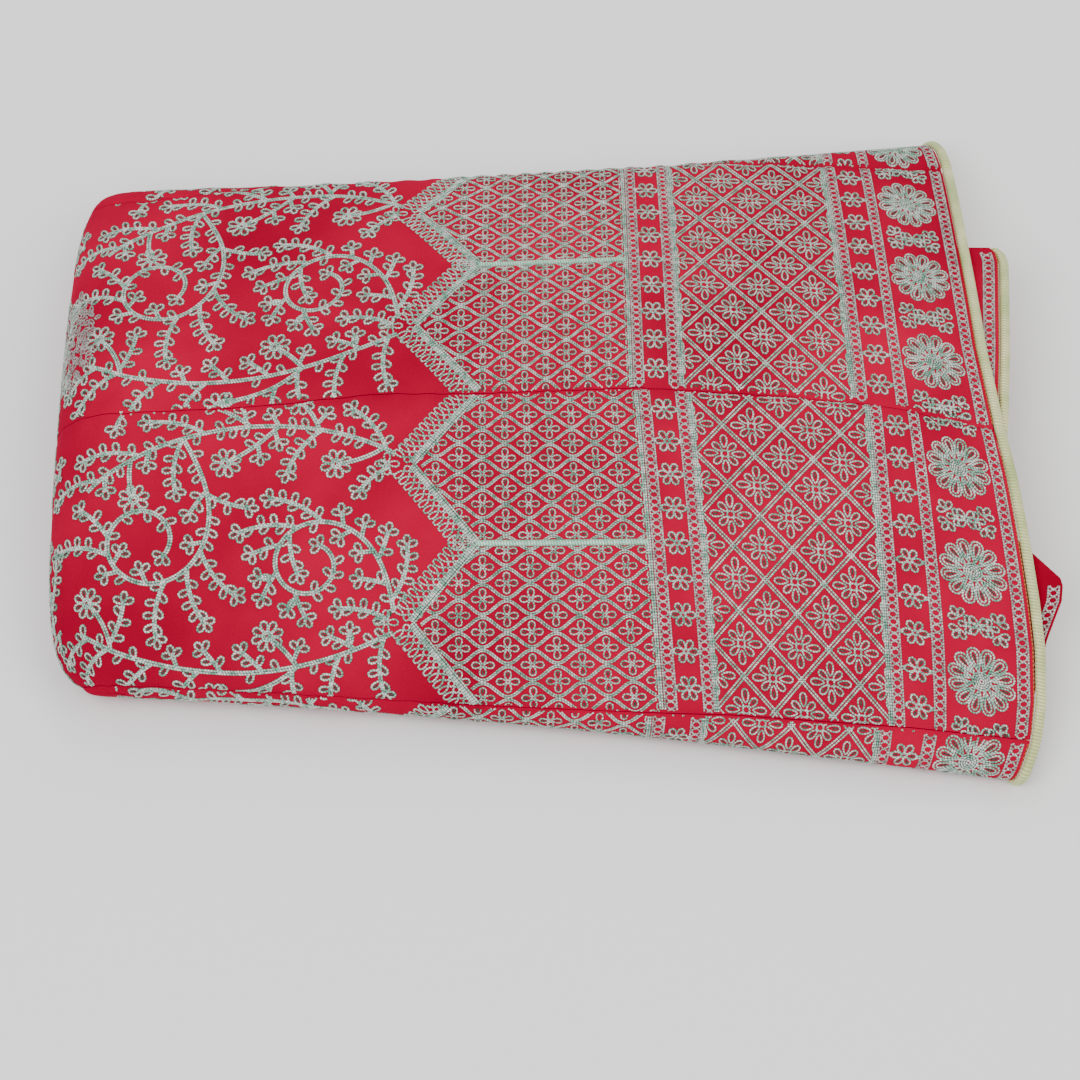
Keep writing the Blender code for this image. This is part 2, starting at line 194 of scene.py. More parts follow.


# %% [markdown]
# The cloth goes along the top from the hem to the left, round the turn and back underneath. way counts
# metres along it, below 0 on the top, 0 to TURN_LENGTH round the turn and more underneath. cloth_point
# finds any point of it. Real folded velvet is never quite smooth, so soft troughs and ridges are added
# here, in real sizes: each has a middle, a direction, a length, a width and a depth. Seams pull
# the cloth in along their line.

# %% Creases and seam grooves
CREASES = (
    # x, across, degrees from the x axis, half length, half width, height
    (-0.190, -0.060, 80, 0.060, 0.010, -0.0011),
    (-0.205, 0.075, 97, 0.070, 0.009, 0.0009),
    (-0.130, 0.120, 12, 0.050, 0.012, -0.0008),
    (-0.095, -0.110, -10, 0.060, 0.014, 0.0008),
    (-0.020, 0.060, 28, 0.045, 0.016, -0.0007),
    (0.060, 0.135, 7, 0.070, 0.010, -0.0009),
    (0.110, -0.060, -16, 0.055, 0.018, 0.0007),
    (0.165, 0.050, 84, 0.060, 0.012, -0.0007),
    (0.200, 0.120, 96, 0.050, 0.011, 0.0008),
    (0.205, -0.130, 100, 0.045, 0.010, -0.0009),
    (-0.060, 0.185, 3, 0.090, 0.006, -0.0012),
    (0.150, 0.190, 5, 0.060, 0.006, 0.0010),
    (-0.080, -0.185, -2, 0.090, 0.006, -0.0012),
)
SEAM_DEPTH = 0.0013
SEAM_HALF_WIDTH = 0.0026
PUCKER_HEIGHT = 0.0004
PUCKER_PITCH = 0.017
PUCKER_REACH = 0.012


def softness(x, across):
    """How far the cloth stands off its plain form."""
    lift = np.zeros_like(x)
    for place_x, place_across, degrees, half_length, half_width, height in CREASES:
        turn = math.radians(degrees)
        dx, ds = x - place_x, across - place_across
        along = (dx * math.cos(turn) + ds * math.sin(turn)) / half_length
        aside = (ds * math.cos(turn) - dx * math.sin(turn)) / half_width
        lift += height * np.exp(-along * along - aside * aside)
    for rows in (SEAM_FAR, SEAM_MIDDLE, SEAM_NEAR):
        away = across - read_table(rows, x)
        lift -= SEAM_DEPTH * np.exp(-((away / SEAM_HALF_WIDTH) ** 2))
        pucker = np.sin(2 * math.pi * x / PUCKER_PITCH + 9 * np.sin(21 * x))
        lift += PUCKER_HEIGHT * pucker * np.exp(-((away / PUCKER_REACH) ** 2))
    return lift


# %% Any point of the cloth
CORD_ROOM = 0.0007


def under_share(across):
    """How far out a place on the turn comes underneath, as a share of the half width there."""
    seam = np.where(across >= 0, read_table(SEAM_NEAR, TURN_X), -read_table(SEAM_FAR, TURN_X))
    side = Section(TURN_X, across >= 0).along(math.pi / 2)
    length = np.abs(across)
    beyond = between(UNDER_SEAM, 1.0, (length - seam) / (side - seam))
    return np.where(length <= seam, UNDER_SEAM * length / seam, beyond)


def under_tuck(x):
    swept = smooth((x - TURN_X) / WRAP_SWEEP)
    waist = np.clip((x - TURN_X - WRAP_SWEEP) / (WAIST_SEAM_X - TURN_X - WRAP_SWEEP), 0.0, 1.0)
    return between(1.0, UNDER_TUCK, swept) - (UNDER_TUCK - UNDER_WAIST) * waist


def cloth_point(way, across, lift):
    """The place in the frame of points that far along and across the cloth and that far above it."""
    way, across, lift = np.broadcast_arrays(np.asarray(way, float), np.asarray(across, float), lift)
    near = across >= 0
    length = np.abs(across)
    lift = lift - CORD_ROOM
    top_x = np.maximum(TURN_X - way, TURN_X)
    fading = np.clip(1 - way / (0.5 * TURN_LENGTH), 0.0, 1.0)
    lift = lift + softness(np.where(way < 0, top_x, TURN_X - way), across) * fading
    out_top, z_top = Section(top_x, near).upper(length, lift)

    turned = Section(np.full_like(top_x, TURN_X), near)
    share_under = under_share(across)
    out_above, above = turned.upper(length, lift)
    out_below, below = turned.lower(share_under * turned.under_length, lift)
    angle = np.clip(way / TURN_LENGTH, 0.0, 1.0) * math.pi
    outness = np.minimum(1.0, out_above / (turned.reach + lift))
    reach = (TURN_REACH + lift) * (1 - outness**CORNER_POWER) ** (1 / CORNER_POWER)
    out_turn = between(out_above, out_below, smooth(angle / math.pi))
    z_turn = (above + below) / 2 + (above - below) / 2 * np.cos(angle)

    under_x = TURN_X + np.maximum(way - TURN_LENGTH, 0.0)
    under = Section(under_x, near)
    out_under, z_under = under.lower(share_under * under.under_length * under_tuck(under_x), lift)

    on_top, on_turn = way < 0, way < TURN_LENGTH
    x = np.where(on_top, top_x, np.where(on_turn, TURN_X - reach * np.sin(angle), under_x))
    out = np.where(on_top, out_top, np.where(on_turn, out_turn, out_under))
    z = np.where(on_top, z_top, np.where(on_turn, z_turn, z_under))
    y = RIDGE_Y - np.copysign(out, across)
    return np.stack([x + SHIFT_X, y + SHIFT_Y, z], axis=-1)


print("top of the ridge:", cloth_point(TURN_X, 0.0, 0.0).round(4))

# %% [markdown]
# ## Camera
# The skirt was photographed from 60 degrees above the table, square to its long side and from far enough
# away that the far edge hardly shrinks. The lens and distance come from how the pattern's cells shorten
# across the bundle.

# %% Set the camera
ELEVATION = math.radians(60)
CAMERA_DISTANCE = 1.7
LENS_MM = 107.7
AIM_BELOW = 0.0447

photo_point = Vector((SHIFT_X, SHIFT_Y, 0.03))
backward = Vector((0, -math.cos(ELEVATION), math.sin(ELEVATION)))
upward = Vector((0, math.sin(ELEVATION), math.cos(ELEVATION)))
camera_place = photo_point + backward * CAMERA_DISTANCE
aim = photo_point - upward * AIM_BELOW
bpy.ops.object.camera_add(location=camera_place)
camera = bpy.context.object
camera.rotation_euler = (aim - camera_place).to_track_quat("-Z", "Y").to_euler()
camera.data.lens = LENS_MM
camera.data.sensor_width = 36
bpy.context.scene.camera = camera
print("camera", [round(value, 3) for value in camera.location])

# %% [markdown]
# ## Materials
# A shader is a small program made of nodes. Value wraps one number of it, so that a sum of nodes can be
# written as a sum, and Finish collects the nodes of one material.

# %% Numbers and nodes of a shader


class Value:
    """A number that a shader works out for each point. Sums of Values make Math nodes."""

    def __init__(self, finish, socket):
        self.finish = finish
        self.socket = socket

    def math(self, operation, first, second=None):
        node = self.finish.node("ShaderNodeMath", operation=operation)
        self.finish.join(first, node.inputs[0])
        if second is not None:
            self.finish.join(second, node.inputs[1])
        return Value(self.finish, node.outputs[0])

    def __add__(self, other):
        return self.math("ADD", self, other)

    __radd__ = __add__

    def __sub__(self, other):
        return self.math("SUBTRACT", self, other)

    def __rsub__(self, other):
        return self.math("SUBTRACT", other, self)

    def __mul__(self, other):
        return self.math("MULTIPLY", self, other)

    __rmul__ = __mul__

    def __truediv__(self, other):
        return self.math("DIVIDE", self, other)

    def __rtruediv__(self, other):
        return self.math("DIVIDE", other, self)

    def sine(self):
        return self.math("SINE", self)

    def size(self):
        return self.math("ABSOLUTE", self)

    def power(self, exponent):
        return self.math("POWER", self, exponent)

    def clamped(self):
        node = self.finish.node("ShaderNodeClamp")
        self.finish.join(self, node.inputs[0])
        return Value(self.finish, node.outputs[0])


class Finish:
    """One material: its Principled shader and the nodes that feed it."""

    def __init__(self, name, **sockets):
        self.material = bpy.data.materials.new(name)
        self.material.use_nodes = True
        self.tree = self.material.node_tree
        self.shader = self.tree.nodes["Principled BSDF"]
        for socket, value in sockets.items():
            self.shader.inputs[socket.replace("_", " ")].default_value = value

    def node(self, kind, **settings):
        made = self.tree.nodes.new(kind)
        for key, value in settings.items():
            setattr(made, key, value)
        return made

    def join(self, source, socket):
        if isinstance(source, Value):
            self.tree.links.new(source.socket, socket)
        elif hasattr(source, "is_output"):
            self.tree.links.new(source, socket)
        else:
            socket.default_value = source

    def feed(self, socket, source):
        self.join(source, self.shader.inputs[socket])

    def noise(self, scale, detail=2.0, coordinates=None):
        made = self.node("ShaderNodeTexNoise")
        made.inputs["Scale"].default_value = scale
        made.inputs["Detail"].default_value = detail
        self.join(coordinates or self.object_place(), made.inputs["Vector"])
        return Value(self, made.outputs["Fac"])

    def object_place(self):
        return self.node("ShaderNodeTexCoord").outputs["Object"]

    def cord_place(self):
        """Along the cord in millimetres, and across it from 0 to 1."""
        split = self.node("ShaderNodeSeparateXYZ")
        self.join(self.node("ShaderNodeTexCoord").outputs["UV"], split.inputs[0])
        return Value(self, split.outputs[0]), Value(self, split.outputs[1])

    def mix(self, share, first, second):
        made = self.node("ShaderNodeMix", data_type="RGBA")
        self.join(share, made.inputs["Factor"])
        self.join(first, made.inputs["A"])
        self.join(second, made.inputs["B"])
        return made.outputs["Result"]

    def bump(self, height, distance, strength=1.0):
        made = self.node("ShaderNodeBump")
        made.inputs["Strength"].default_value = strength
        made.inputs["Distance"].default_value = distance
        self.join(height, made.inputs["Height"])
        self.feed("Normal", made.outputs["Normal"])


# %% [markdown]
# ### Velvet
# Velvet is a short upright pile. Seen along the pile it is deep and dark, and at a slant the tips catch the
# light, which the Principled shader's sheen does. The nap lies a little differently from place to place.

# %% Velvet


def velvet_finish(name, deep, bright):
    finish = Finish(name, Roughness=0.9, Sheen_Weight=0.10, Sheen_Roughness=0.4, Specular_IOR_Level=0.03)
    finish.shader.inputs["Sheen Tint"].default_value = (1.0, 0.0, 0.16, 1.0)
    nap = finish.noise(13.0, 3.0)
    pile = finish.noise(1900.0, 2.0)
    patch = (nap * 2.4 - 0.75 + (pile - 0.5) * 0.5).clamped()
    finish.feed("Base Color", finish.mix(patch, deep, bright))
    finish.bump(pile + finish.noise(320.0, 2.0) * 0.6, 0.0005, 0.5)
    return finish.material


velvet = velvet_finish("crimson_velvet", (0.32, 0.0, 0.021, 1.0), (0.53, 0.0, 0.038, 1.0))
# A darker copy of the velvet, as painted shade, for cloth that lies in shadow: the lower hem fold and the
# ends of the hidden layers
painted_shade_velvet = velvet_finish("shaded_velvet", (0.22, 0.0, 0.010, 1.0), (0.36, 0.0, 0.022, 1.0))

# %% [markdown]
# ### Metallic cord
# The embroidery cord is pale silver-gold foil wound round a thread. Its windings show as slanting grooves.
# The cords carry their own coordinates: millimetres along the cord and a share across it. Light is painted
# into their colour: bright glints on the foil, and shade in the grooves and towards both sides of each cord.

# %% Cord
TWIST_PITCH_MM = 1.5


def cord_finish(name, light, mid, dark, metallic):
    finish = Finish(name, Roughness=0.38, Metallic=metallic, Specular_IOR_Level=0.6)
    along, across = finish.cord_place()
    twist = ((along / TWIST_PITCH_MM + across * 0.9) * (2 * math.pi)).sine() * 0.5 + 0.5
    # Painted shade: the colour darkens towards both sides of each cord, so the crest stays light and the
    # sides look shaded
    edge = ((across - 0.5).size() * 2.0).power(2.0)
    # Painted glints: fine noise puts bright specks of the light colour on the foil as highlights
    tone = finish.noise(260.0, 1.0) * 0.5 + finish.noise(900.0, 1.0) * 0.5
    foil_with_painted_glints = finish.mix((tone * 4.6 - 1.8).clamped(), mid, light)
    # Painted shade: the slanting grooves between the windings are darker
    painted_groove_shade = finish.mix((twist.power(2.5) * 0.75).clamped(), foil_with_painted_glints, dark)
    finish.feed("Base Color", finish.mix((edge * 1.25).clamped(), painted_groove_shade, dark))
    finish.bump(1.0 - twist * 0.8, 0.0004, 0.8)
    return finish.material


cord = cord_finish(
    "foil_cord", (0.93, 1.00, 0.92, 1.0), (0.14, 0.43, 0.30, 1.0), (0.050, 0.020, 0.014, 1.0), 0.3
)
ring_cord = cord_finish(
    "ring_cord", (0.82, 0.80, 0.76, 1.0), (0.32, 0.30, 0.28, 1.0), (0.09, 0.012, 0.014, 1.0), 0.3
)
satin = cord_finish(
    "satin_stitch", (0.62, 0.95, 0.74, 1.0), (0.30, 0.64, 0.46, 1.0), (0.10, 0.20, 0.13, 1.0), 0.2
)
grey_cord = cord_finish(
    "grey_cord", (0.56, 0.50, 0.48, 1.0), (0.30, 0.26, 0.25, 1.0), (0.10, 0.05, 0.05, 1.0), 0.3
)

# %% [markdown]
# ### Piping
# The hem is bound with a gold satin piping over a cord. Its fine ribs run round it.

# %% Piping


def piping_finish(name):
    finish = Finish(name, Roughness=0.40, Metallic=0.15, Sheen_Weight=0.2)
    along, across = finish.cord_place()
    rib = ((along / 1.7 + across * 2.2) * (2 * math.pi)).sine() * 0.5 + 0.5
    tone = (finish.noise(60.0, 2.0) * 2.6 - 0.8).clamped()
    ground = finish.mix(tone, (0.48, 0.60, 0.22, 1.0), (0.90, 0.86, 0.46, 1.0))
    finish.feed("Base Color", finish.mix(rib.power(3.0) * 0.75, ground, (0.34, 0.33, 0.10, 1.0)))
    finish.bump(1.0 - rib, 0.0005, 0.8)
    return finish.material


def thread_finish(name, light, dark):
    finish = Finish(name, Roughness=0.7)
    along, _ = finish.cord_place()
    stitch = ((along / 2.2) * (2 * math.pi)).sine() * 0.5 + 0.5
    finish.feed("Base Color", finish.mix(stitch.power(2.0), light, dark))
    return finish.material


gold_piping = piping_finish("gold_piping")
thread = thread_finish("stitch_thread", (0.50, 0.20, 0.03, 1.0), (0.14, 0.02, 0.01, 1.0))
# Painted shade: a nearly black colour for the strips that stand for the shadow inside leaves and petals
painted_shade_thread = thread_finish("painted_shade_thread", (0.030, 0.050, 0.035, 1.0), (0.035, 0.008, 0.008, 1.0))

# %% [markdown]
# ## Cloth panels
# Each panel starts as a flat grid. Every corner of the grid is then laid on the bundle, and the Solidify
# modifier gives it the thickness of velvet. The panels meet at seams 0.3 mm apart.

# %% A grid laid to a form
CLOTH_THICKNESS = 0.0011


def select_only(piece):
    bpy.ops.object.select_all(action="DESELECT")
    piece.select_set(True)
    bpy.context.view_layer.objects.active = piece


def laid_grid(name, places, finish, thickness=0.0):
    """A grid whose corner (i, j) lies at places[i, j], with an optional thickness behind it."""
    rows, columns = places.shape[:2]
    bpy.ops.object.select_all(action="DESELECT")
    bpy.ops.mesh.primitive_grid_add(x_subdivisions=rows - 1, y_subdivisions=columns - 1, size=2)
    piece = bpy.context.object
    piece.name = name
    piece.data.name = name
    flat = np.empty(len(piece.data.vertices) * 3)
    piece.data.vertices.foreach_get("co", flat)
    flat = flat.reshape(-1, 3)
    i = np.rint((flat[:, 0] + 1) / 2 * (rows - 1)).astype(int)
    j = np.rint((flat[:, 1] + 1) / 2 * (columns - 1)).astype(int)
    piece.data.vertices.foreach_set("co", places[i, j].reshape(-1))
    if thickness:
        select_only(piece)
        solid = piece.modifiers.new("cloth", "SOLIDIFY")
        solid.thickness = thickness
        solid.offset = -1.0
        bpy.ops.object.modifier_apply(modifier=solid.name)
    piece.data.materials.clear()
    piece.data.materials.append(finish)
    select_only(piece)
    bpy.ops.object.shade_smooth_by_angle(angle=math.radians(50))
    piece.data.update()
    return piece


# %% Lay the four panels


def wrap_angle(x, near):
    """Near the turn the side wraps meet the edge of the underside, and further on they stop at WRAP_ANGLE."""
    section = Section(x, near)
    under = (section.under_length * under_tuck(x) - section.roll_y) / section.roll
    return np.minimum(WRAP_ANGLE, math.pi - under)


def far_wrap(x):
    return -Section(x, False).along(wrap_angle(x, False))


def near_wrap(x):
    return Section(x, True).along(wrap_angle(x, True))


def seam_far(x):
    return read_table(SEAM_FAR, x)


def seam_middle(x):
    return read_table(SEAM_MIDDLE, x)


def seam_near(x):
    return read_table(SEAM_NEAR, x)


PANELS = {
    "far_side": (far_wrap, seam_far, 26),
    "far": (seam_far, seam_middle, 56),
    "near": (seam_middle, seam_near, 56),
    "near_side": (seam_near, near_wrap, 26),
}
TOP_ROWS = 120
TURN_ROWS = 34
UNDER_ROWS = 70


def panel_places(low, high, columns):
    shares = np.linspace(0.0, 1.0, columns + 1)
    rows = []
    for t in np.linspace(1.0, 0.0, TOP_ROWS + 1):
        nominal = between(TURN_X, HEM_X, t)
        across = between(low(nominal) + SEAM_GAP / 2, high(nominal) - SEAM_GAP / 2, shares)
        hem = read_table(TOP_HEM, across) - 2 * PIPING_HALF_WIDTH - PIPING_GAP / 2
        rows.append(cloth_point(TURN_X - between(TURN_X, hem, t), across, 0.0))
    across = between(low(TURN_X) + SEAM_GAP / 2, high(TURN_X) - SEAM_GAP / 2, shares)
    under_length = WAIST_SEAM_X - TURN_X - SEAM_GAP
    ways = list(np.linspace(0.0, TURN_LENGTH, TURN_ROWS + 1)[1:])
    ways += list(TURN_LENGTH + np.linspace(0.0, under_length, UNDER_ROWS + 1)[1:])
    for way in ways:
        rows.append(cloth_point(way, across, 0.0))
    return np.stack(rows)


cloths = {}
for side, (low, high, columns) in PANELS.items():
    cloth = laid_grid("cloth_" + side, panel_places(low, high, columns), velvet, CLOTH_THICKNESS)
    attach(cloth, "root")
    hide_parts("panel_" + side)
    cloths[side] = cloth
    print(cloth.name, len(cloth.data.polygons), "faces")

# %% [markdown]
# ## Drawing with cord
# The embroidery is drawn in pattern millimetres, the way its maker charts it: u counts from the hem up the
# skirt and v across one panel. A stroke is a list of (u, v) points. Small helpers make the loops, rings and
# stems that the whole design is built from.

# %% Strokes
CORD_WIDTH = 1.15
CORD_HEIGHT = 0.55
VINE_CORD_WIDTH = 1.45
LOOP_POINTS = 12
# Where the dark strip of painted shade in a leaf runs, as shares of the leaf's length
HEART_SHARES = (0.42, 0.62, 0.82)


def loop(u, v, angle, length, width, points=LOOP_POINTS):
    """A closed leaf of cord that starts at (u, v) and points along angle."""
    turn = np.linspace(0.0, 2 * math.pi, points + 1)
    ahead = length * (1 - np.cos(turn)) / 2
    aside = width / 2 * np.sin(turn) * (0.55 + 0.45 * (1 - np.cos(turn)) / 2)
    cosine, sine = math.cos(angle), math.sin(angle)
    return np.stack([u + ahead * cosine - aside * sine, v + ahead * sine + aside * cosine], axis=1)


def ring(u, v, radius_u, radius_v, points=10):
    turn = np.linspace(0.0, 2 * math.pi, points + 1)
    return np.stack([u + radius_u * np.cos(turn), v + radius_v * np.sin(turn)], axis=1)


def line(*corners, step=2.0):
    """A stroke through corners with a point every step or so."""
    corners = np.array(corners, float)
    found = [corners[:1]]
    for start, end in zip(corners, corners[1:]):
        count = max(1, int(round(np.hypot(*(end - start)) / step)))
        found.append(between(start, end, np.linspace(0.0, 1.0, count + 1)[1:, None]))
    return np.concatenate(found)


def normals_of(stroke):
    run = np.gradient(stroke, axis=0)
    if np.allclose(stroke[0], stroke[-1]):
        run[0] = run[-1] = stroke[1] - stroke[-2]
    run /= np.maximum(np.hypot(run[:, 0], run[:, 1]), 1e-9)[:, None]
    return np.stack([-run[:, 1], run[:, 0]], axis=1)


def doubled(stroke, gap=1.3):
    """Two cords side by side."""
    aside = normals_of(stroke) * gap / 2
    return [stroke + aside, stroke - aside]


def hearts(strokes):
    """Painted shade: a short dark strip in the middle of each leaf or petal that one loop makes."""
    leaves = [
        stroke for stroke in strokes
        if len(stroke) == LOOP_POINTS + 1 and np.allclose(stroke[0], stroke[-1])
    ]
    shares = np.array(HEART_SHARES)[:, None]
    return [between(leaf[0], leaf[LOOP_POINTS // 2], shares) for leaf in leaves]


# %% [markdown]
# ### Flowers and leaves
# A flower is a ring of loops. The big rosette has twelve petals, each a loop inside a loop, round a coiled
# middle. Leaves and petals have a dark heart, where the velvet lies in shadow between the cords; a short dark
# strip of painted shade is laid there.

# %% Motifs


def flower(u, v, petals, inner, outer, width, start=0.0, middle=0.0):
    strokes = []
    for k in range(petals):
        angle = start + 2 * math.pi * k / petals
        base_u, base_v = u + inner * math.cos(angle), v + inner * math.sin(angle)
        strokes.append(loop(base_u, base_v, angle, outer - inner, width))
    if middle:
        strokes.append(ring(u, v, middle, middle, 8))
    return strokes


def petal(u, v, angle, length, width, points=14):
    """A loop that is narrow where it starts and widest three quarters of the way along."""
    turn = np.linspace(0.0, 2 * math.pi, points + 1)
    share = (1 - np.cos(turn)) / 2
    ahead, aside = length * share, width / 2 * np.sin(turn) * (0.15 + 0.85 * share) / 0.7
    cosine, sine = math.cos(angle), math.sin(angle)
    return np.stack([u + ahead * cosine - aside * sine, v + ahead * sine + aside * cosine], axis=1)


def rosette(u, v):
    strokes = []
    for k in range(12):
        angle = math.pi / 12 + 2 * math.pi * k / 12
        cosine, sine = math.cos(angle), math.sin(angle)
        for start, length, width, points in ((5.0, 12.0, 6.5, 16), (6.9, 8.6, 3.3, LOOP_POINTS)):
            strokes.append(petal(u + start * cosine, v + start * sine, angle, length, width, points))
    for radius in (1.0, 2.2, 3.4, 4.6):
        strokes.append(ring(u, v, radius, radius, 14))
    return strokes


SPRAY_LEAN = 1.15


def spray(u, v, angle, length, width):
    """A leaf ahead and one to each side."""
    strokes = [loop(u, v, angle, length, width)]
    for side in (-1, 1):
        strokes.append(loop(u, v, angle + side * SPRAY_LEAN, length * 0.94, width))
    return strokes


def border_sprig(u, v):
    """The small bush between two rosettes."""
    strokes = flower(u, v, 4, 0.8, 6.0, 4.2, math.pi / 4)
    for side in (-1, 1):
        strokes += flower(u + side * 5.5, v, 4, 0.6, 4.6, 3.4, 0.0)
        for lean in (-1, 1):
            heading = math.atan2(lean * 1.1, side * 0.75)
            strokes += spray(u + side * 10.0, v + lean * 3.4, heading, 5.4, 3.8)
    return strokes


# %% [markdown]
# ### Bands of the border
# The border repeats in bands. Where each band lies up the skirt, in millimetres from the hem's outer edge,
# is listed first. A panel is 168 mm wide there, with 3 rosettes, 9 small flowers and 5 trellis cells across
# it.

# %% Where the bands are
PANEL_MM = 168.0
STITCH_U = 6.1
RING_BANDS_U = (11.2, 53.4, 75.0, 175.0, 194.5)
ROSETTE_U = 32.2
SMALL_FLOWER_BANDS_U = (64.4, 184.9)
TRELLIS_LOW_U = 79.4
TRELLIS_HIGH_U = 170.8
LATTICE_LOW_U = 199.6
VALLEY_U = 285.0
PEAK_U = 319.0
RING_PITCH = 3.9
MARGIN_MM = 14.0


def spread(pitch, start=0.0):
    """Places across the panel and a little beyond both seams."""
    first = math.ceil((-MARGIN_MM - start) / pitch)
    last = math.floor((PANEL_MM + MARGIN_MM - start) / pitch)
    return [start + pitch * k for k in range(first, last + 1)]


def ring_band(u):
    strokes = [ring(u, v, 2.1, 1.75) for v in spread(RING_PITCH)]
    for side in (-1, 1):
        strokes.append(line((u + side * 2.75, -MARGIN_MM), (u + side * 2.75, PANEL_MM + MARGIN_MM)))
    return strokes


def small_flower_band(u):
    strokes = []
    for v in spread(PANEL_MM / 9, PANEL_MM / 18):
        strokes += flower(u, v, 6, 1.0, 6.3, 4.2)
        strokes += doubled(line((u - 6.0, v), (u - 8.0, v)), 1.1)
        strokes += doubled(line((u + 6.0, v), (u + 7.4, v)), 1.1)
    return strokes


# %% The trellis of diamonds
TRELLIS_CELL_U = (TRELLIS_HIGH_U - TRELLIS_LOW_U) / 3
TRELLIS_CELL_V = PANEL_MM / 5


def trellis():
    strokes = []
    rise = 3 * TRELLIS_CELL_V
    for k in range(-4, 10):
        v = k * TRELLIS_CELL_V
        for side in (-1, 1):
            strokes += doubled(line((TRELLIS_LOW_U, v), (TRELLIS_HIGH_U, v + side * rise)), 1.5)
    for v in spread(TRELLIS_CELL_V):
        for k in range(3):
            strokes += trellis_flower(TRELLIS_LOW_U + TRELLIS_CELL_U * (k + 0.5), v)
    for v in spread(TRELLIS_CELL_V, TRELLIS_CELL_V / 2):
        for k in range(4):
            strokes += trellis_flower(TRELLIS_LOW_U + TRELLIS_CELL_U * k, v)
    return strokes


def trellis_flower(u, v):
    """Four long petals that point to the corners of a cell, and four short ones between them."""
    strokes = flower(u, v, 4, 3.6, 10.6, 4.3)
    strokes += flower(u, v, 4, 2.2, 8.2, 4.1, math.pi / 4, 1.9)
    return strokes


# %% The ogee lattice under the arches
LATTICE_CORD_WIDTH = 0.95
OGEE_LENGTH = 24.0
OGEE_WIDTH = PANEL_MM / 10


def zigzag_u(v):
    """How far up the skirt the arches reach at v: two pointed arches to a panel."""
    share = np.abs(((np.asarray(v) / (PANEL_MM / 2)) % 1.0) - 0.5) * 2
    return between(PEAK_U, VALLEY_U, share)


def lattice():
    """Wavy lines that swing towards and away from each other, with a flower in each wide place."""
    strokes = []
    swing = OGEE_WIDTH / 4 - 0.75
    u = np.arange(LATTICE_LOW_U, PEAK_U + 2.0, 1.6)
    phase = 2 * math.pi * (u - LATTICE_LOW_U) / OGEE_LENGTH
    for k in range(-2, 23):
        sign = 1 if k % 2 else -1
        wave = np.stack([u, k * OGEE_WIDTH / 2 + sign * swing * np.cos(phase)], axis=1)
        strokes += doubled(wave, LATTICE_CORD_WIDTH)
        for n in range(6):
            place = LATTICE_LOW_U + OGEE_LENGTH * (n + (0.5 if k % 2 else 0.0))
            strokes += flower(place, (k + 0.5) * OGEE_WIDTH / 2, 4, 0.7, 5.5, 4.0)
    return strokes


# %% Arches and their edging
EDGING_PITCH = 4.0
# How far outside an arch's line the parts of its edging lie
EDGE_LINE_OUT = 1.9
EDGE_RING_OUT = 4.0
EDGE_LOOP_OUT = 6.2
PEAK_FLOWER_OUT = 13.5


def arch_sides():
    """Peak and foot of each side of each arch."""
    sides = []
    for v in spread(PANEL_MM / 2, PANEL_MM / 4):
        for side in (-1, 1):
            sides.append(((PEAK_U, v), (VALLEY_U, v + side * PANEL_MM / 4)))
    return sides


def edging():
    """Outside each arch's gold line: a row of rings, and a row of loops that point outwards."""
    strokes = []
    for peak, foot in arch_sides():
        run = np.array(foot) - np.array(peak)
        length = float(np.hypot(*run))
        ahead = run / length
        outward = np.array([1.0, 0.0]) - ahead * ahead[0]
        outward /= np.hypot(*outward)
        angle = math.atan2(outward[1], outward[0])
        for k in range(int(length / EDGING_PITCH) + 1):
            place = np.array(peak) + ahead * EDGING_PITCH * k
            strokes.append(ring(*(place + outward * EDGE_RING_OUT), 1.6, 1.6, 8))
            strokes.append(loop(*(place + outward * EDGE_LOOP_OUT), angle, 6.0, 3.5))
        off = outward * EDGE_LINE_OUT
        strokes += doubled(line(np.array(peak) + off, np.array(foot) + off), 0.9)
        if ahead[1] > 0:
            strokes += flower(PEAK_U + PEAK_FLOWER_OUT, peak[1], 4, 0.8, 6.2, 4.0)
    return strokes


# %% [markdown]
# ### The vine
# Above the arches a scrolling vine covers the velvet, in a tile that repeats up the skirt. Each stem is a
# scroll: it leaves its parent at an angle and bends steadily, and some end in a flower. A short table of
# lengths and angles makes them all. The leaves are then grown along the stems: a full sprig where there is
# room for it, a smaller one or a single leaf where there isn't, and small ones on the big sprigs. A list of
# circles keeps account of the room.

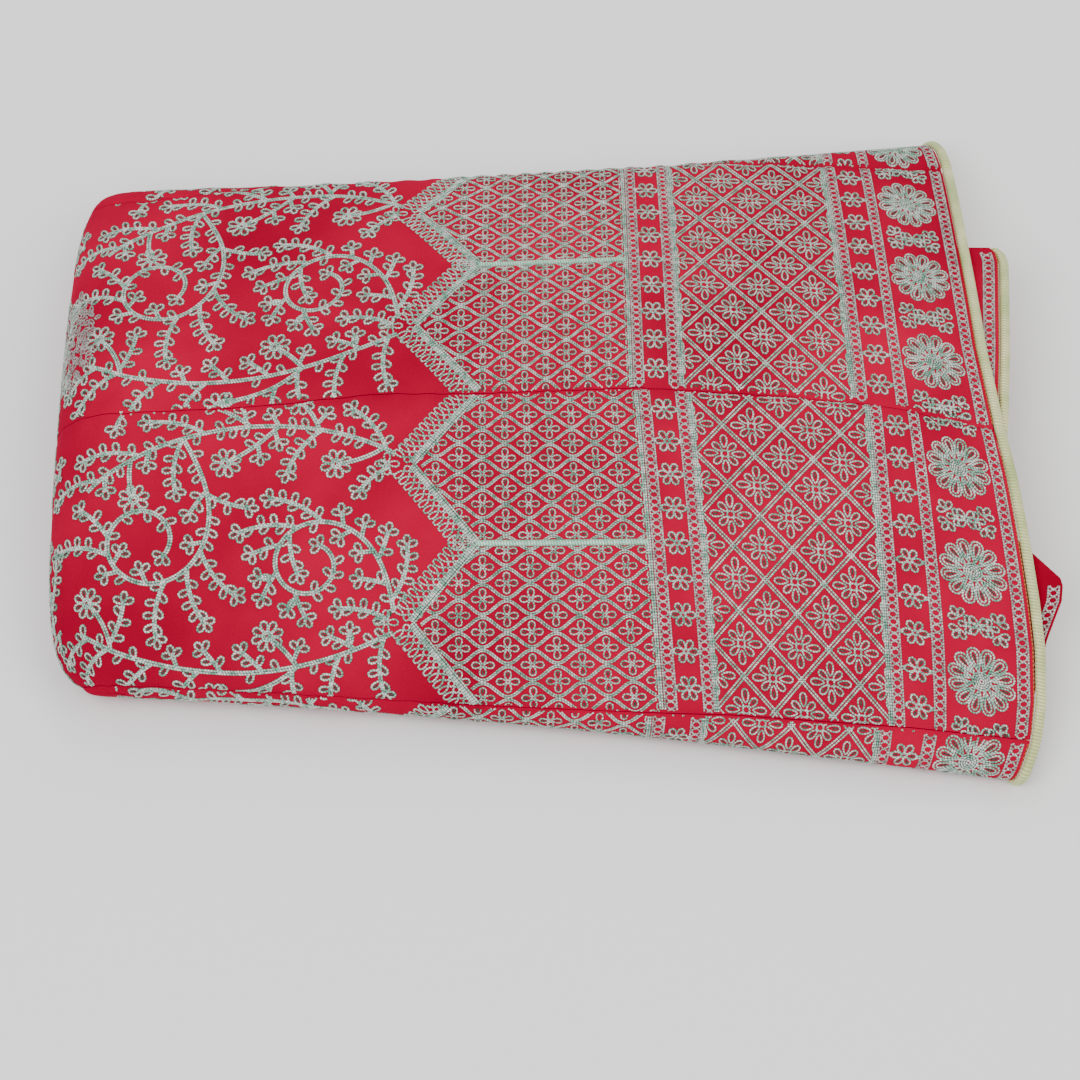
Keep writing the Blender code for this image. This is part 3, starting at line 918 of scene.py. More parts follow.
# %% Scrolling stems
TILE_MM = 186.0
SCROLL_STARTS = {
    # name: where it starts, up from the arches and across the panel, and its heading in degrees
    "near_main": ((0.0, 126.0), 30.0),
    "far_main": ((0.0, 42.0), -34.0),
}
SCROLLS = (
    # name, parent, share along it, degrees off it, length, bend in degrees, how late it bends, has a flower
    ("near_main", None, 0.0, 0.0, 178.0, -58.0, 1.0, False),
    ("far_main", None, 0.0, 0.0, 180.0, 76.0, 1.0, False),
    ("low_coil", "near_main", 0.06, -110.0, 172.0, 420.0, 2.0, False),
    ("high_coil", "far_main", 0.70, 100.0, 190.0, -430.0, 1.9, False),
    ("far_over", "far_main", 0.50, -44.0, 90.0, 62.0, 1.0, False),
    ("near_over", "near_main", 0.36, 34.0, 40.0, -44.0, 1.0, False),
    ("low_bloom", "near_main", 0.36, -66.0, 22.0, 20.0, 1.0, True),
    ("high_bloom", "near_main", 0.90, -60.0, 28.0, 40.0, 1.0, True),
    ("inner_bloom", "far_main", 0.42, 50.0, 34.0, -20.0, 1.0, True),
    ("far_bloom", "far_main", 0.30, -62.0, 20.0, 30.0, 1.0, True),
    ("peak_bloom", "far_main", 0.10, 60.0, 26.0, -30.0, 1.0, True),
    ("over_bloom", "near_over", 0.98, 10.0, 10.0, 0.0, 1.0, True),
    ("top_bloom", "far_main", 0.86, 50.0, 22.0, 30.0, 1.0, True),
)


def scroll(start, heading, length, bend, late, step=1.6):
    """A stroke that starts with heading and has turned by bend degrees at its end."""
    count = int(length / step)
    share = (np.arange(count) + 0.5) / count
    angle = np.radians(heading + bend * share**late)
    moves = np.stack([np.cos(angle), np.sin(angle)], axis=1) * length / count
    return np.concatenate([[start], np.array(start) + np.cumsum(moves, axis=0)])


def scrolling_stems():
    """The stems, the places of the flowers that some end in, and the tips of the others."""
    stems, flowers, tips = {}, [], []
    for name, parent, share, off, length, bend, late, blooms in SCROLLS:
        if parent is None:
            start, heading = SCROLL_STARTS[name]
        else:
            index = int(share * (len(stems[parent]) - 2))
            start = stems[parent][index]
            ahead = stems[parent][index + 1] - start
            heading = math.degrees(math.atan2(ahead[1], ahead[0])) + off
        stems[name] = scroll(start, heading, length, bend, late)
        if blooms:
            flowers.append(stems[name][-1])
        elif parent:
            ahead = stems[name][-1] - stems[name][-2]
            tips.append((stems[name][-1], math.atan2(ahead[1], ahead[0])))
    return list(stems.values()), flowers, tips


# %% Grow the leaves


class Room:
    """Circles that are taken, so that a new leaf is only placed where it is clear of the others."""

    def __init__(self):
        self.circles = np.zeros((0, 3))

    def take(self, points, radius):
        rows = np.concatenate([points, np.full((len(points), 1), radius)], axis=1)
        self.circles = np.concatenate([self.circles, rows])

    def is_free(self, points, radius):
        away = np.hypot(*(points[:, None, :] - self.circles[None, :, :2]).transpose(2, 0, 1))
        return bool((away > radius + self.circles[None, :, 2]).all())


LEAF = (5.8, 3.9)
# From one pair of leaves on a twig to the next, and how many degrees the twig turns between them
PAIR_PITCH = 7.8
TWIG_BEND = 13.0


def aimed(angle):
    return np.array([math.cos(angle), math.sin(angle)])


def spray_middles(place, angle):
    return [place + aimed(angle + lean) * 4.0 for lean in (-SPRAY_LEAN, 0.0, SPRAY_LEAN)]


def sprig(place, angle, leaves):
    """A twig with pairs of leaves and three at its tip, or one leaf: (strokes, leaf middles, stalk)."""
    if leaves == 1:
        return [loop(*place, angle, *LEAF)], [place + aimed(angle) * 4.2], None
    pairs = (leaves - 3) // 2
    stalk = scroll(place, math.degrees(angle), 6.5 + PAIR_PITCH * pairs, TWIG_BEND * pairs, 1.0)
    tip, ahead = stalk[-1], angle + math.radians(TWIG_BEND) * pairs
    strokes = doubled(stalk, 1.2)
    strokes += spray(*tip, ahead, *LEAF)
    middles = spray_middles(tip, ahead)
    for k in range(pairs):
        for side in (-1, 1):
            base = stalk[int((5.2 + PAIR_PITCH * k + 1.6 * side) / 1.6)]
            strokes.append(loop(*base, angle + side * 1.05, *LEAF))
            middles.append(base + aimed(angle + side * 1.05) * 3.8)
    return strokes, middles, stalk


# How leaves are grown: number on a twig, steps between tries, angle from the stem, room round each leaf
GROWTH = (
    (9, 12.0, 0.80, 3.2),
    (7, 10.0, 0.80, 3.1),
    (5, 7.0, 0.95, 3.0),
    (3, 5.0, 1.05, 2.8),
    (1, 6.2, 1.10, 2.7),
)
# The room that a leaf takes, and how far its middle stays from other stems
LEAF_ROOM = 2.7
STEM_ROOM = 4.2
# Steps of its own stem, before and after its place, that a sprig may be near
OWN_STEM = 7
# Sprigs with this many leaves or more carry smaller ones themselves
TWIG_LEAVES = 5


def vine_tile():
    room = Room()
    stems, flowers, tips = scrolling_stems()
    strokes = []
    for u, v in flowers:
        strokes += flower(u, v, 8, 2.2, 8.0, 4.4, 0.3, 1.5)
        room.take(np.array([(u, v)], float), 8.8)
    for place, angle in tips:
        strokes += spray(*place, angle, *LEAF)
        room.take(np.array(spray_middles(place, angle)), LEAF_ROOM)
    for stem in stems:
        strokes += doubled(stem)
    for leaves, pitch, lean, clear in GROWTH:
        for number, stem in enumerate(list(stems)):
            run = np.concatenate([[0.0], np.cumsum(np.hypot(*np.diff(stem, axis=0).T))])
            others = [other for other in stems if other is not stem]
            for k, at in enumerate(np.arange(3.0, run[-1] + 0.1, pitch)):
                index = min(int(np.searchsorted(run, at)), len(stem) - 2)
                ahead = stem[index + 1] - stem[index]
                own = [stem[: max(1, index - OWN_STEM)], stem[index + OWN_STEM :]]
                for side in (1, -1) if (k + number) % 2 else (-1, 1):
                    angle = math.atan2(ahead[1], ahead[0]) + side * lean
                    grown, middles, stalk = sprig(stem[index], angle, leaves)
                    middles = np.array(middles)
                    near_stem = min(
                        np.hypot(*(middles[:, None] - other[None]).transpose(2, 0, 1)).min()
                        for other in others + own
                        if len(other)
                    )
                    if near_stem > STEM_ROOM and room.is_free(middles, clear):
                        strokes += grown
                        room.take(middles, LEAF_ROOM)
                        if leaves >= TWIG_LEAVES:
                            stems.append(stalk)
    return strokes


tile = vine_tile()
print("one vine tile has", len(tile), "strokes")

# %% [markdown]
# ## Laying the pattern on the cloth
# The bands fan out a little, because the skirt flares, and they step where two panels were sewn together
# not quite level. Each panel therefore has a short table of where four of its bands cross its two seams.

# %% From pattern to cloth
BAND_LINES = {
    # side: for each band, its u in millimetres, and x at the panel's far seam and near seam
    "far_side": ((72.0, 0.1560, 0.1622), (188.0, 0.0530, 0.0547), (285.0, -0.0305, -0.0305)),
    "far": ((72.0, 0.1622, 0.1702), (188.0, 0.0547, 0.0575), (285.0, -0.0305, -0.0312)),
    "near": ((72.0, 0.1770, 0.1842), (188.0, 0.0603, 0.0731), (285.0, -0.0312, -0.0303)),
    "near_side": ((72.0, 0.1800, 0.1560), (188.0, 0.0680, 0.0560), (285.0, -0.0330, -0.0330)),
}
SIDE_SEAMS = {
    # side: its seam on top, and where the pattern is cut off there
    "far_side": (seam_far, 158.0),
    "near_side": (seam_near, 14.0),
}
SEAM_CLEARANCE = 0.0006


def across_at(side, v, x):
    """How far across the cloth a place v on a panel's pattern lies, where the panel passes x."""
    if side in SIDE_SEAMS:
        seam, start = SIDE_SEAMS[side]
        return seam(x) + (v - start) / 1000
    low, high, _ = PANELS[side]
    return (low(x) + high(x)) / 2 + (v - PANEL_MM / 2) / 1000


def lay(side, pattern):
    """(way, across, whether it is on this panel) of pattern points, given in millimetres."""
    u, v = pattern[..., 0], pattern[..., 1]
    share = np.clip(v / PANEL_MM, -0.1, 1.1)
    rows = BAND_LINES[side]
    known_u = [0.0] + [row[0] for row in rows]
    known_x = [read_table(TOP_HEM, across_at(side, v, HEM_X))]
    known_x += [between(row[1], row[2], share) for row in rows]
    x = known_x[-1] - (u - known_u[-1]) / 1000
    for k in range(len(rows) - 1, -1, -1):
        part = (u - known_u[k]) / (known_u[k + 1] - known_u[k])
        x = np.where(u < known_u[k + 1], between(known_x[k], known_x[k + 1], part), x)
    seam_x = np.maximum(x, TURN_X)
    across = across_at(side, v, seam_x)
    low, high, _ = PANELS[side]
    on_panel = (across > low(seam_x) + SEAM_CLEARANCE) & (across < high(seam_x) - SEAM_CLEARANCE)
    if side in SIDE_SEAMS:
        # The corners of the turn are too tight for embroidery
        on_panel &= (x > TURN_X) | (x < TURN_X - TURN_LENGTH)
    return TURN_X - x, across, on_panel


# %% Cords as one mesh
FULL_PROFILE = (
    # share of the width to each side, share of the height
    (-0.5, 0.0),
    (-0.26, 0.92),
    (0.26, 0.92),
    (0.5, 0.0),
)
PLAIN_PROFILE = (
    # for the underside
    (-0.5, 0.0),
    (0.0, 1.0),
    (0.5, 0.0),
)
CORD_SINK = 0.05


def cords(
    name, side, strokes, width=CORD_WIDTH, height=CORD_HEIGHT, finish=cord,
    allowed=None, profile=FULL_PROFILE, laid=lay, lift=0.0,
):
    """One mesh of all the strokes, each a raised cord on the panel's cloth."""
    points = np.concatenate(strokes)
    aside = np.concatenate([normals_of(stroke) for stroke in strokes])
    steps = [np.concatenate([[0.0], np.cumsum(np.hypot(*np.diff(stroke, axis=0).T))]) for stroke in strokes]
    number = np.concatenate([np.full(len(stroke), k) for k, stroke in enumerate(strokes)])
    offsets = np.array([row[0] for row in profile]) * width
    heights = (np.array([row[1] for row in profile]) * height - CORD_SINK) / 1000
    way, across, _ = laid(side, points[:, None, :] + aside[:, None, :] * offsets[None, :, None])
    inside = laid(side, points)[2]
    if allowed is not None:
        inside &= allowed(points)
    places = cloth_point(way, across, heights[None, :] + lift)
    first = np.nonzero(inside[:-1] & inside[1:] & (number[:-1] == number[1:]))[0]
    return corded(name, places, first, np.concatenate(steps), finish)


def corded(name, places, first, along, finish):
    """Joins each profile that first names to the next one."""
    count = places.shape[1]
    quads = []
    for k in range(count - 1):
        a = first * count + k
        quads.append(np.stack([a, a + 1, a + count + 1, a + count], axis=1))
    return raised_mesh(name, places.reshape(-1, 3), np.concatenate(quads), along, count, finish)


def raised_mesh(name, places, quads, along, count, finish):
    used, quads = np.unique(quads, return_inverse=True)
    quads = quads.reshape(-1, 4)
    mesh = bpy.data.meshes.new(name)
    mesh.vertices.add(len(used))
    mesh.vertices.foreach_set("co", places[used].reshape(-1))
    mesh.loops.add(quads.size)
    mesh.loops.foreach_set("vertex_index", quads.reshape(-1).astype(np.int32))
    mesh.polygons.add(len(quads))
    mesh.polygons.foreach_set("loop_start", np.arange(0, quads.size, 4, dtype=np.int32))
    mesh.update(calc_edges=True)
    uv = mesh.uv_layers.new(name="cord")
    corner = used[quads.reshape(-1)]
    places_uv = np.stack([along[corner // count], (corner % count) / (count - 1)], axis=1)
    uv.data.foreach_set("uv", places_uv.reshape(-1))
    mesh.materials.append(finish)
    mesh.shade_smooth()
    piece = bpy.data.objects.new(name, mesh)
    bpy.context.scene.collection.objects.link(piece)
    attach(piece, "root")
    print(name, 2 * len(quads), "triangles")
    return piece


# %% [markdown]
# ## The embroidery
# Every panel gets the same design. On the two sides only a strip of it shows, and the seams cut it off.

# %% Border bands on each panel
SIDE_PARTS_MM = {
    # side: the part of the pattern that the side panel can show
    "far_side": (92.0, 162.0),
    "near_side": (10.0, 84.0),
}


def in_trellis(points):
    return (points[:, 0] > TRELLIS_LOW_U - 0.2) & (points[:, 0] < TRELLIS_HIGH_U + 0.2)


def below_arches(points):
    return points[:, 0] < zigzag_u(points[:, 1]) - 1.0


def on_lattice(points):
    return below_arches(points) & (points[:, 0] > LATTICE_LOW_U)


def outside_arches(points):
    return points[:, 0] > zigzag_u(points[:, 1])


def trimmed(strokes, side):
    """Only the strokes that come near what this panel shows of the pattern."""
    low, high = SIDE_PARTS_MM.get(side, (-MARGIN_MM, PANEL_MM + MARGIN_MM))
    return [stroke for stroke in strokes if stroke[:, 1].max() > low and stroke[:, 1].min() < high]


ring_bands = []
for u in RING_BANDS_U:
    ring_bands += ring_band(u)
border = []
for u in SMALL_FLOWER_BANDS_U:
    border += small_flower_band(u)
for v in spread(PANEL_MM / 3, PANEL_MM / 6):
    border += rosette(ROSETTE_U, v)
for v in spread(PANEL_MM / 3):
    border += border_sprig(ROSETTE_U, v)
for u in (TRELLIS_LOW_U, TRELLIS_HIGH_U, LATTICE_LOW_U - 0.5):
    border += doubled(line((u, -MARGIN_MM), (u, PANEL_MM + MARGIN_MM)), 1.1)

# Dark strips of painted shade for the middles of the leaves and petals
painted_leaf_shade = hearts(border)
painted_leaf_shade += [stitch for stitch in hearts(lattice()) if stitch[:, 0].min() > LATTICE_LOW_U]
painted_leaf_shade += [stitch for stitch in hearts(trellis()) if in_trellis(stitch).all()]
arch_lines = [cord_line for ends in arch_sides() for cord_line in doubled(line(*ends, step=1.6))]
stitches = [line((STITCH_U, -MARGIN_MM), (STITCH_U, PANEL_MM + MARGIN_MM))]
bar = [line((LATTICE_LOW_U, PANEL_MM / 2), (VALLEY_U + 2.0, PANEL_MM / 2), step=1.6)]

# Size of the painted shade strips in the leaves
HEART_WIDTH = 1.15
HEART_HEIGHT = 0.3

embroidery = {}
for side in PANELS:
    embroidery[side] = [
        cords("ring_bands_" + side, side, trimmed(ring_bands, side), finish=ring_cord),
        cords("border_" + side, side, trimmed(border, side), 1.25),
        cords("trellis_" + side, side, trimmed(trellis(), side), allowed=in_trellis),
        cords("lattice_" + side, side, trimmed(lattice(), side), LATTICE_CORD_WIDTH, allowed=on_lattice),
        cords("edging_" + side, side, trimmed(edging(), side), allowed=outside_arches),
        cords("arch_lines_" + side, side, trimmed(arch_lines, side), 1.35, 0.7),
        cords("stitches_" + side, side, stitches, 0.6, 0.3, thread),
        # The painted shade strips in the leaves and petals
        cords(
            "hearts_" + side, side, trimmed(painted_leaf_shade, side), HEART_WIDTH, HEART_HEIGHT, painted_shade_thread,
            below_arches, PLAIN_PROFILE,
        ),
    ]
for side in ("far", "near"):
    embroidery[side].append(cords("bar_" + side, side, bar, 3.8, 0.9, satin))

# %% The vine on each panel
SKIRT_TOP_MM = 930.0
UNDER_FROM_MM = 560.0
EDGING_WIDTH_MM = 13.5


def vine_on_top(points):
    clear = zigzag_u(points[:, 1]) + EDGING_WIDTH_MM
    return (points[:, 0] > clear) & (points[:, 0] < UNDER_FROM_MM)


def vine_below(points):
    return (points[:, 0] > UNDER_FROM_MM) & (points[:, 0] < SKIRT_TOP_MM)


def on_vine(points):
    return vine_on_top(points) | vine_below(points)


vine = []
for number in range(4):
    lift = np.array([PEAK_U + TILE_MM * number, 0.0])
    vine += [stroke + lift for stroke in tile]
for side in PANELS:
    strokes = trimmed(vine, side)
    top = cords("vine_" + side, side, strokes, VINE_CORD_WIDTH, allowed=vine_on_top)
    below = cords(
        "vine_under_" + side, side, strokes, VINE_CORD_WIDTH, allowed=vine_below, profile=PLAIN_PROFILE
    )
    # The painted shade strips in the vine's leaves
    middles = cords(
        "vine_hearts_" + side, side, hearts(strokes), HEART_WIDTH, HEART_HEIGHT, painted_shade_thread,
        on_vine, PLAIN_PROFILE,
    )
    embroidery[side] += [top, below, middles]

# %% A dense patch of rings where the next layer's border comes round the fold
PATCH_MIDDLE = (503.0, 108.0)
PATCH_RADII = (17.0, 31.0)
PATCH_PITCH = 3.6

wander = np.random.default_rng(7)
patch = []
for row in range(-5, 6):
    for column in range(-9, 10):
        du, dv = np.array([row, column + 0.5 * (row % 2)]) * PATCH_PITCH + wander.uniform(-0.9, 0.9, 2)
        if (du / PATCH_RADII[0]) ** 2 + (dv / PATCH_RADII[1]) ** 2 < wander.uniform(0.75, 1.15):
            angle = wander.uniform(0.0, 2 * math.pi)
            length, width = wander.uniform(3.4, 5.4), wander.uniform(2.2, 3.4)
            patch.append(loop(PATCH_MIDDLE[0] + du, PATCH_MIDDLE[1] + dv, angle, length, width, 9))
embroidery["far"].append(cords("fold_patch", "far", patch, finish=grey_cord))

# %% [markdown]
# ## Hem piping
# The piping runs along the hem's edge, a flattened cord wrapped in ribbed satin.

# %% Piping
PIPING_SIDES = 12


def tube_quads(count, first=0):
    """Faces of a tube whose rings of points follow each other."""
    quads = []
    for k in range(PIPING_SIDES):
        a = first + np.arange(count) * (PIPING_SIDES + 1) + k
        quads.append(np.stack([a, a + PIPING_SIDES + 1, a + PIPING_SIDES + 2, a + 1], axis=1))
    return np.concatenate(quads)


def piping(name, edge, low, high, inset, node, count):
    across = np.linspace(low, high, count + 1)
    x = read_table(edge, across) - PIPING_HALF_WIDTH
    turn = np.linspace(0.0, 2 * math.pi, PIPING_SIDES + 1)
    aside = x[:, None] + PIPING_HALF_WIDTH * np.cos(turn)[None, :]
    lift = CORD_ROOM - inset + PIPING_HALF_THICKNESS * np.sin(turn)[None, :]
    places = cloth_point(TURN_X - aside, across[:, None], lift).reshape(-1, 3)
    along = (across - low) * 1000
    piece = raised_mesh(name, places, tube_quads(count), along, PIPING_SIDES + 1, gold_piping)
    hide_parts(node)
    return piece


piping("piping_hem", TOP_HEM, far_wrap(HEM_X), near_wrap(HEM_X), 0.0001, "hem_piping", 220)

# %% Hem folds that show from under the hem
FAR_FOLD_EDGE = (
    # across, x
    (-0.108, 0.2478),
    (-0.104, 0.2508),
    (-0.098, 0.2518),
    (-0.084, 0.2509),
    (-0.070, 0.2498),
    (-0.037, 0.2475),
    (-0.005, 0.2446),
    (0.020, 0.2422),
)
NEAR_FOLD_EDGE = (
    # across, x
    (0.095, 0.2655),
    (0.099, 0.2665),
    (0.107, 0.2656),
    (0.117, 0.2616),
    (0.128, 0.2572),
    (0.140, 0.2545),
    (0.152, 0.2512),
    (0.165, 0.2480),
)
HEM_FOLDS = {
    # node: edge, inset, start, low and high at the start, piped, u of its column of rings, finish
    "hem_fold_far": (FAR_FOLD_EDGE, 0.0024, 0.100, -0.109, 0.020, True, 11.2, velvet),
    # The lower hem fold is given the darker velvet, as painted shade
    "hem_fold_near": (NEAR_FOLD_EDGE, 0.0048, 0.134, -0.034, 0.120, False, 4.6, painted_shade_velvet),
}


def lay_on_fold(node, pattern):
    """The same as lay, for a fold: u counts from its own hem, and v is millimetres across the cloth."""
    edge = HEM_FOLDS[node][0]
    across = pattern[..., 1] / 1000
    x = read_table(edge, across) - pattern[..., 0] / 1000
    return TURN_X - x, across, (across > edge[0][0] + 0.003) & (across < edge[-1][0])


for node, (edge, inset, start, low_start, high_start, piped, rings_u, finish) in HEM_FOLDS.items():
    low_edge, high_edge = edge[0][0], edge[-1][0]
    shares = np.linspace(0.0, 1.0, 61)
    back = 2 * PIPING_HALF_WIDTH + PIPING_GAP / 2 if piped else 0.0
    rows = []
    for t in np.linspace(1.0, 0.0, 41):
        across_edge = between(low_edge, high_edge, shares)
        across = between(between(low_start, high_start, shares), across_edge, t)
        x = between(start, read_table(edge, across_edge) - back, t)
        rows.append(cloth_point(TURN_X - x, across, CORD_ROOM - inset))
    fold = laid_grid("cloth_" + node, np.stack(rows), finish, CLOTH_THICKNESS)
    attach(fold, "root")
    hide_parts(node)
    cloths[node] = fold
    low_v, high_v = low_edge * 1000, high_edge * 1000
    strokes = [ring(rings_u, v, 2.1, 1.75) for v in np.arange(low_v + 4, high_v, RING_PITCH)]
    strokes += [line((rings_u + side * 2.75, low_v), (rings_u + side * 2.75, high_v)) for side in (-1, 1)]
    lift = CORD_ROOM - inset
    embroidery[node] = [cords("rings_" + node, node, strokes, finish=ring_cord, laid=lay_on_fold, lift=lift)]
    if piped:
        stitched = [line((STITCH_U, low_v), (STITCH_U, high_v))]
        found = cords("stitches_" + node, node, stitched, 0.6, 0.3, thread, laid=lay_on_fold, lift=lift)
        tube = piping("piping_" + node, edge, low_edge, high_edge, inset + 0.0021, node + "_piping", 90)
        embroidery[node] += [found, tube]

# %% [markdown]
# ## Hidden layers and waistband
# What is folded inside can't be seen, so one closed body fills it. Only its right end shows, under the hem.
# There each layer of cloth is a rounded rib that ends a little further in or out than the next one, with
# its own piping.

# %% The body of the hidden layers
# How far the layers lie behind the outer cloth, and at the hem, where the hem folds need room
CORE_INSET = 0.0027
CORE_HEM_INSET = 0.0074
CORE_THINS_X = (0.060, 0.130)
# How far they end before the hem
CORE_END_BACK = 0.011
# Where the underside gives way to that deeper inset: from so far inside the roll, and over what width
CORE_LIFT = (0.030, 0.024)
# The room left for the waistband: from this x, half its width, and its height, with soft ramps
BAND_ROOM = (0.176, 0.1092, 0.0214)
BAND_RAMP = 0.008
# How far each layer ends beyond or before the first, from the top down
LAYER_ENDS = (0.0, -0.0016, 0.0006, -0.0024, -0.0006, -0.0028, -0.0010, -0.0020, -0.0032)
FLATS_IN_LAYER = 8
LAYER_ROUND = 0.0040
# A low power makes the rounded edge of a fold full
FOLD_POWER = 0.6
CORE_COLUMNS = 96


def core_inset(x):
    share = np.clip((x - CORE_THINS_X[0]) / np.diff(CORE_THINS_X), 0.0, 1.0)
    return between(CORE_INSET, CORE_HEM_INSET, share)


def core_under(x, turned):
    """The underside of the hidden layers, which rises over the waistband."""
    inset = core_inset(x)
    section = Section(x, turned >= 0)
    length = under_share(turned) * section.under_length
    out, z = section.lower(length, -inset)
    z = z - (inset - CORE_INSET) * (1 - smooth((length - section.roll_y + CORE_LIFT[0]) / CORE_LIFT[1]))
    on_band = smooth((x - BAND_ROOM[0]) / BAND_RAMP) * (1 - smooth((out - BAND_ROOM[1]) / BAND_RAMP))
    z = np.maximum(z, on_band * BAND_ROOM[2])
    return np.stack([x + SHIFT_X, RIDGE_Y - np.copysign(out, turned) + SHIFT_Y, z], axis=-1)


def sealed(piece, sharp=50):
    """Closes the seams of a laid grid and turns its faces outwards."""
    select_only(piece)
    bpy.ops.object.mode_set(mode="EDIT")
    bpy.ops.mesh.select_all(action="SELECT")
    bpy.ops.mesh.remove_doubles(threshold=1e-5)
    bpy.ops.mesh.normals_make_consistent(inside=False)
    bpy.ops.object.mode_set(mode="OBJECT")
    bpy.ops.object.shade_smooth_by_angle(angle=math.radians(sharp))


shares = np.linspace(0.0, 1.0, CORE_COLUMNS + 1)


def all_across(x):
    """Places from the far side's widest point to the near side's."""
    far_edge, near_edge = (Section(x, near).along(math.pi / 2) for near in (False, True))
    return between(-far_edge, near_edge, shares)


turned = all_across(TURN_X)
above, below = [], []
for t in np.linspace(1.0, 0.0, 61):
    nominal = between(TURN_X, HEM_X, t)
    across = all_across(nominal)
    x = between(TURN_X, read_table(TOP_HEM, across) - CORE_END_BACK, t)
    above.append(cloth_point(TURN_X - x, across, CORD_ROOM - core_inset(x)))
    below.append(core_under(x, turned))
    below[-1][[0, -1]] = above[-1][[0, -1]]
turning_ways = np.linspace(0.0, TURN_LENGTH, 18)[1:-1]
turning = [cloth_point(way, turned, CORD_ROOM - CORE_INSET) for way in turning_ways]

thick = np.clip((above[0][:, 2] - below[0][:, 2]) / 0.012, 0.0, 1.0)
layer_count = len(LAYER_ENDS)
end_rows = []
for i in range(1, layer_count * FLATS_IN_LAYER):
    share = i / (layer_count * FLATS_IN_LAYER)
    layer = i // FLATS_IN_LAYER
    rib = abs(math.sin(math.pi * layer_count * share)) ** FOLD_POWER
    row = between(above[0], below[0], share)
    wave = 0.0009 * np.sin(38 * row[:, 1] + 2.1 * layer) + LAYER_ENDS[layer]
    row[:, 0] += ((rib - 0.15) * LAYER_ROUND + wave * rib) * thick
    end_rows.append(row)
core_rows = end_rows[::-1] + above + turning + below[::-1]
core = laid_grid("folded_core", np.stack(core_rows + core_rows[:1]), velvet)
# The ends of the hidden layers get the darker velvet, as painted shade
core.data.materials.append(painted_shade_velvet)
for face in core.data.polygons:
    face.material_index = int(face.center.x > above[0][:, 0].min() - 0.001 and abs(face.normal.x) > 0.2)
sealed(core)
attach(core, "root")
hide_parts("folded_layers")
print("hidden layers:", len(core.data.polygons), "faces, ends", (above[0][:, 0].max()).round(4))

# %% Piping on the end of each hidden layer
LAYER_PIPING_OUT = 0.0010
LAYER_PIPING_RADII = (0.0015, 0.0011)

turn = np.linspace(0.0, 2 * math.pi, PIPING_SIDES + 1)
tubes, quads = [], []
for layer in range(layer_count):
    crest = end_rows[layer * FLATS_IN_LAYER + FLATS_IN_LAYER // 2 - 1]
    around = np.repeat(crest[:, None, :], PIPING_SIDES + 1, axis=1)
    around[..., 0] += LAYER_PIPING_OUT + LAYER_PIPING_RADII[0] * np.cos(turn)[None, :] * thick[:, None]
    around[..., 2] += LAYER_PIPING_RADII[1] * np.sin(turn)[None, :] * thick[:, None]
    quads.append(tube_quads(CORE_COLUMNS, len(tubes) * (CORE_COLUMNS + 1) * (PIPING_SIDES + 1)))
    tubes.append(around.reshape(-1, 3))
along = np.tile(np.abs(np.cumsum(np.gradient(above[0][:, 1]))) * 1000, layer_count)
layer_piping = raised_mesh(
    "layer_piping", np.concatenate(tubes), np.concatenate(quads), along, PIPING_SIDES + 1, gold_piping
)

# %% The folded waistband
BAND_LENGTH = 0.034
BAND_HALF_WIDTH = 0.108
BAND_HEIGHT = 0.0205
BAND_ROUND = 0.006
BAND_GROOVE = 0.0012
BAND_ENDS = (0.0, -0.0030, -0.0010, -0.0022)

turn = np.linspace(0.0, 2 * math.pi, 181)
plan_x, plan_y = (np.copysign(np.abs(wave) ** 0.3, wave) for wave in (np.cos(turn), np.sin(turn)))
band_x = WAIST_SEAM_X + SEAM_GAP + BAND_LENGTH / 2 + SHIFT_X
band_rows = []


def band_row(z, drawn_in, shrink, fold_in=0.0):
    half_x, half_y = BAND_LENGTH / 2 - SEAM_GAP - drawn_in, BAND_HALF_WIDTH - drawn_in + fold_in
    x, y = band_x + shrink * half_x * plan_x, RIDGE_Y + SHIFT_Y + shrink * half_y * plan_y
    return np.stack([x, y, np.full_like(x, z)], axis=-1)


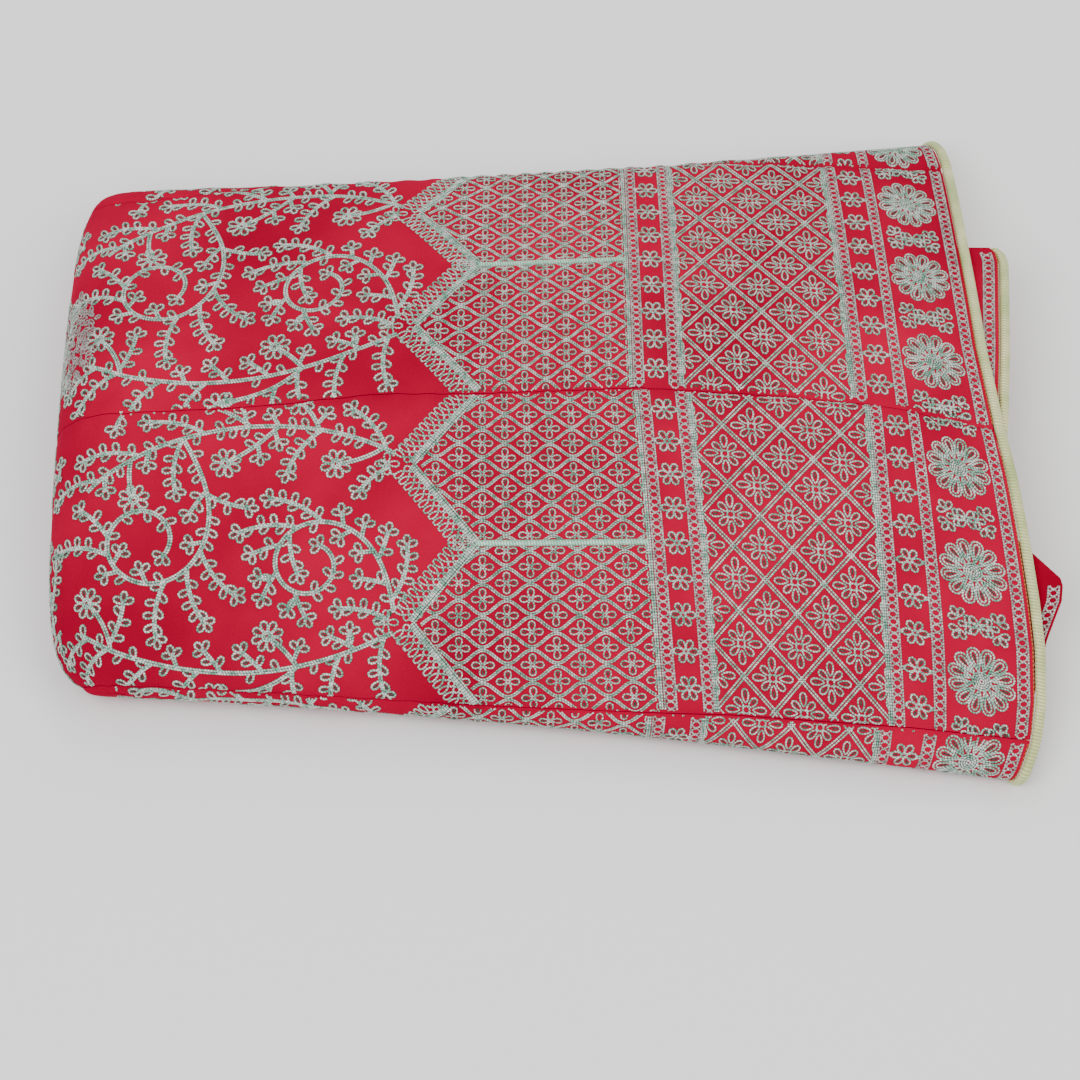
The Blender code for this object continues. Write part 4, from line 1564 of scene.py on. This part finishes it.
for i in range(len(BAND_ENDS) * 10 + 1):
    share = i / (len(BAND_ENDS) * 10)
    rib = abs(math.sin(math.pi * len(BAND_ENDS) * share)) ** FOLD_POWER
    rounded = BAND_ROUND * (1 - math.sqrt(1 - (2 * share - 1) ** 2))
    fold_in = BAND_ENDS[min(i // 10, len(BAND_ENDS) - 1)] * rib
    band_rows.append(band_row(share * BAND_HEIGHT, rounded + BAND_GROOVE * (1 - rib), 1.0, fold_in))
closing = [(0.0, 0.0), (0.5, 0.0)], [(0.5, BAND_HEIGHT), (0.0, BAND_HEIGHT)]
bottom, top = ([band_row(z, BAND_ROUND, shrink) for shrink, z in rows] for rows in closing)
band = laid_grid("folded_waistband", np.stack(bottom + band_rows + top), velvet)
sealed(band, 60)
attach(band, "root")
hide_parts("waistband")
print("waistband:", [round(value * 1000, 1) for value in band.dimensions], "mm")

# %% [markdown]
# ## Light and floor
# A pale floor and broad soft lamps, as in a small product studio.

# %% Floor and lamps
bpy.ops.object.select_all(action="DESELECT")
bpy.ops.mesh.primitive_plane_add(size=6, location=(0, 0, -0.0003))
floor = bpy.context.object
floor.name = "floor"
paper = Finish("paper", Roughness=0.9)
paper.shader.inputs["Base Color"].default_value = (0.96, 0.96, 0.96, 1.0)
floor.data.materials.append(paper.material)

LAMPS = (
    # name, place, size, watts
    ("key", (-0.7, -0.9, 1.9), 1.2, 26.0),
    ("fill", (1.1, -0.5, 1.6), 1.4, 12.0),
    ("back", (0.2, 1.3, 1.5), 1.2, 10.0),
)
for name, place, size, watts in LAMPS:
    bpy.ops.object.light_add(type="AREA", location=place)
    lamp = bpy.context.object
    lamp.name = name
    lamp.data.size = size
    lamp.data.energy = watts
    lamp.rotation_euler = (Vector((0, 0, 0.03)) - Vector(place)).to_track_quat("-Z", "Y").to_euler()

world = bpy.data.worlds.new("studio")
bpy.context.scene.world = world
world.use_nodes = True
world.node_tree.nodes["Background"].inputs["Color"].default_value = (1.0, 1.0, 1.0, 1.0)
world.node_tree.nodes["Background"].inputs["Strength"].default_value = 0.75

# %% [markdown]
# ## The cloth as cut
# Each panel and hem fold was cut to a width and length. Its laid area is printed beside the area as cut. A
# panel tapers towards the waist, so its area is less than its width times its length.

CLOTH_CUTS = {
    # cloth: width and length as cut, and the share of that rectangle that the cloth fills
    "far_side": (0.060, 0.97, 0.45),
    "far": (0.186, 0.98, 0.80),
    "near": (0.186, 0.98, 0.80),
    "near_side": (0.050, 0.97, 0.40),
    "hem_fold_far": (0.130, 0.146, 1.0),
    "hem_fold_near": (0.154, 0.124, 0.75),
}

for name, (width, length, share) in CLOTH_CUTS.items():
    laid_area = sum(face.area for face in cloths[name].data.polygons) / 2
    print(name, "laid", round(laid_area, 4), "of", round(width * length * share, 4), "square metres as cut")
    width * length * share
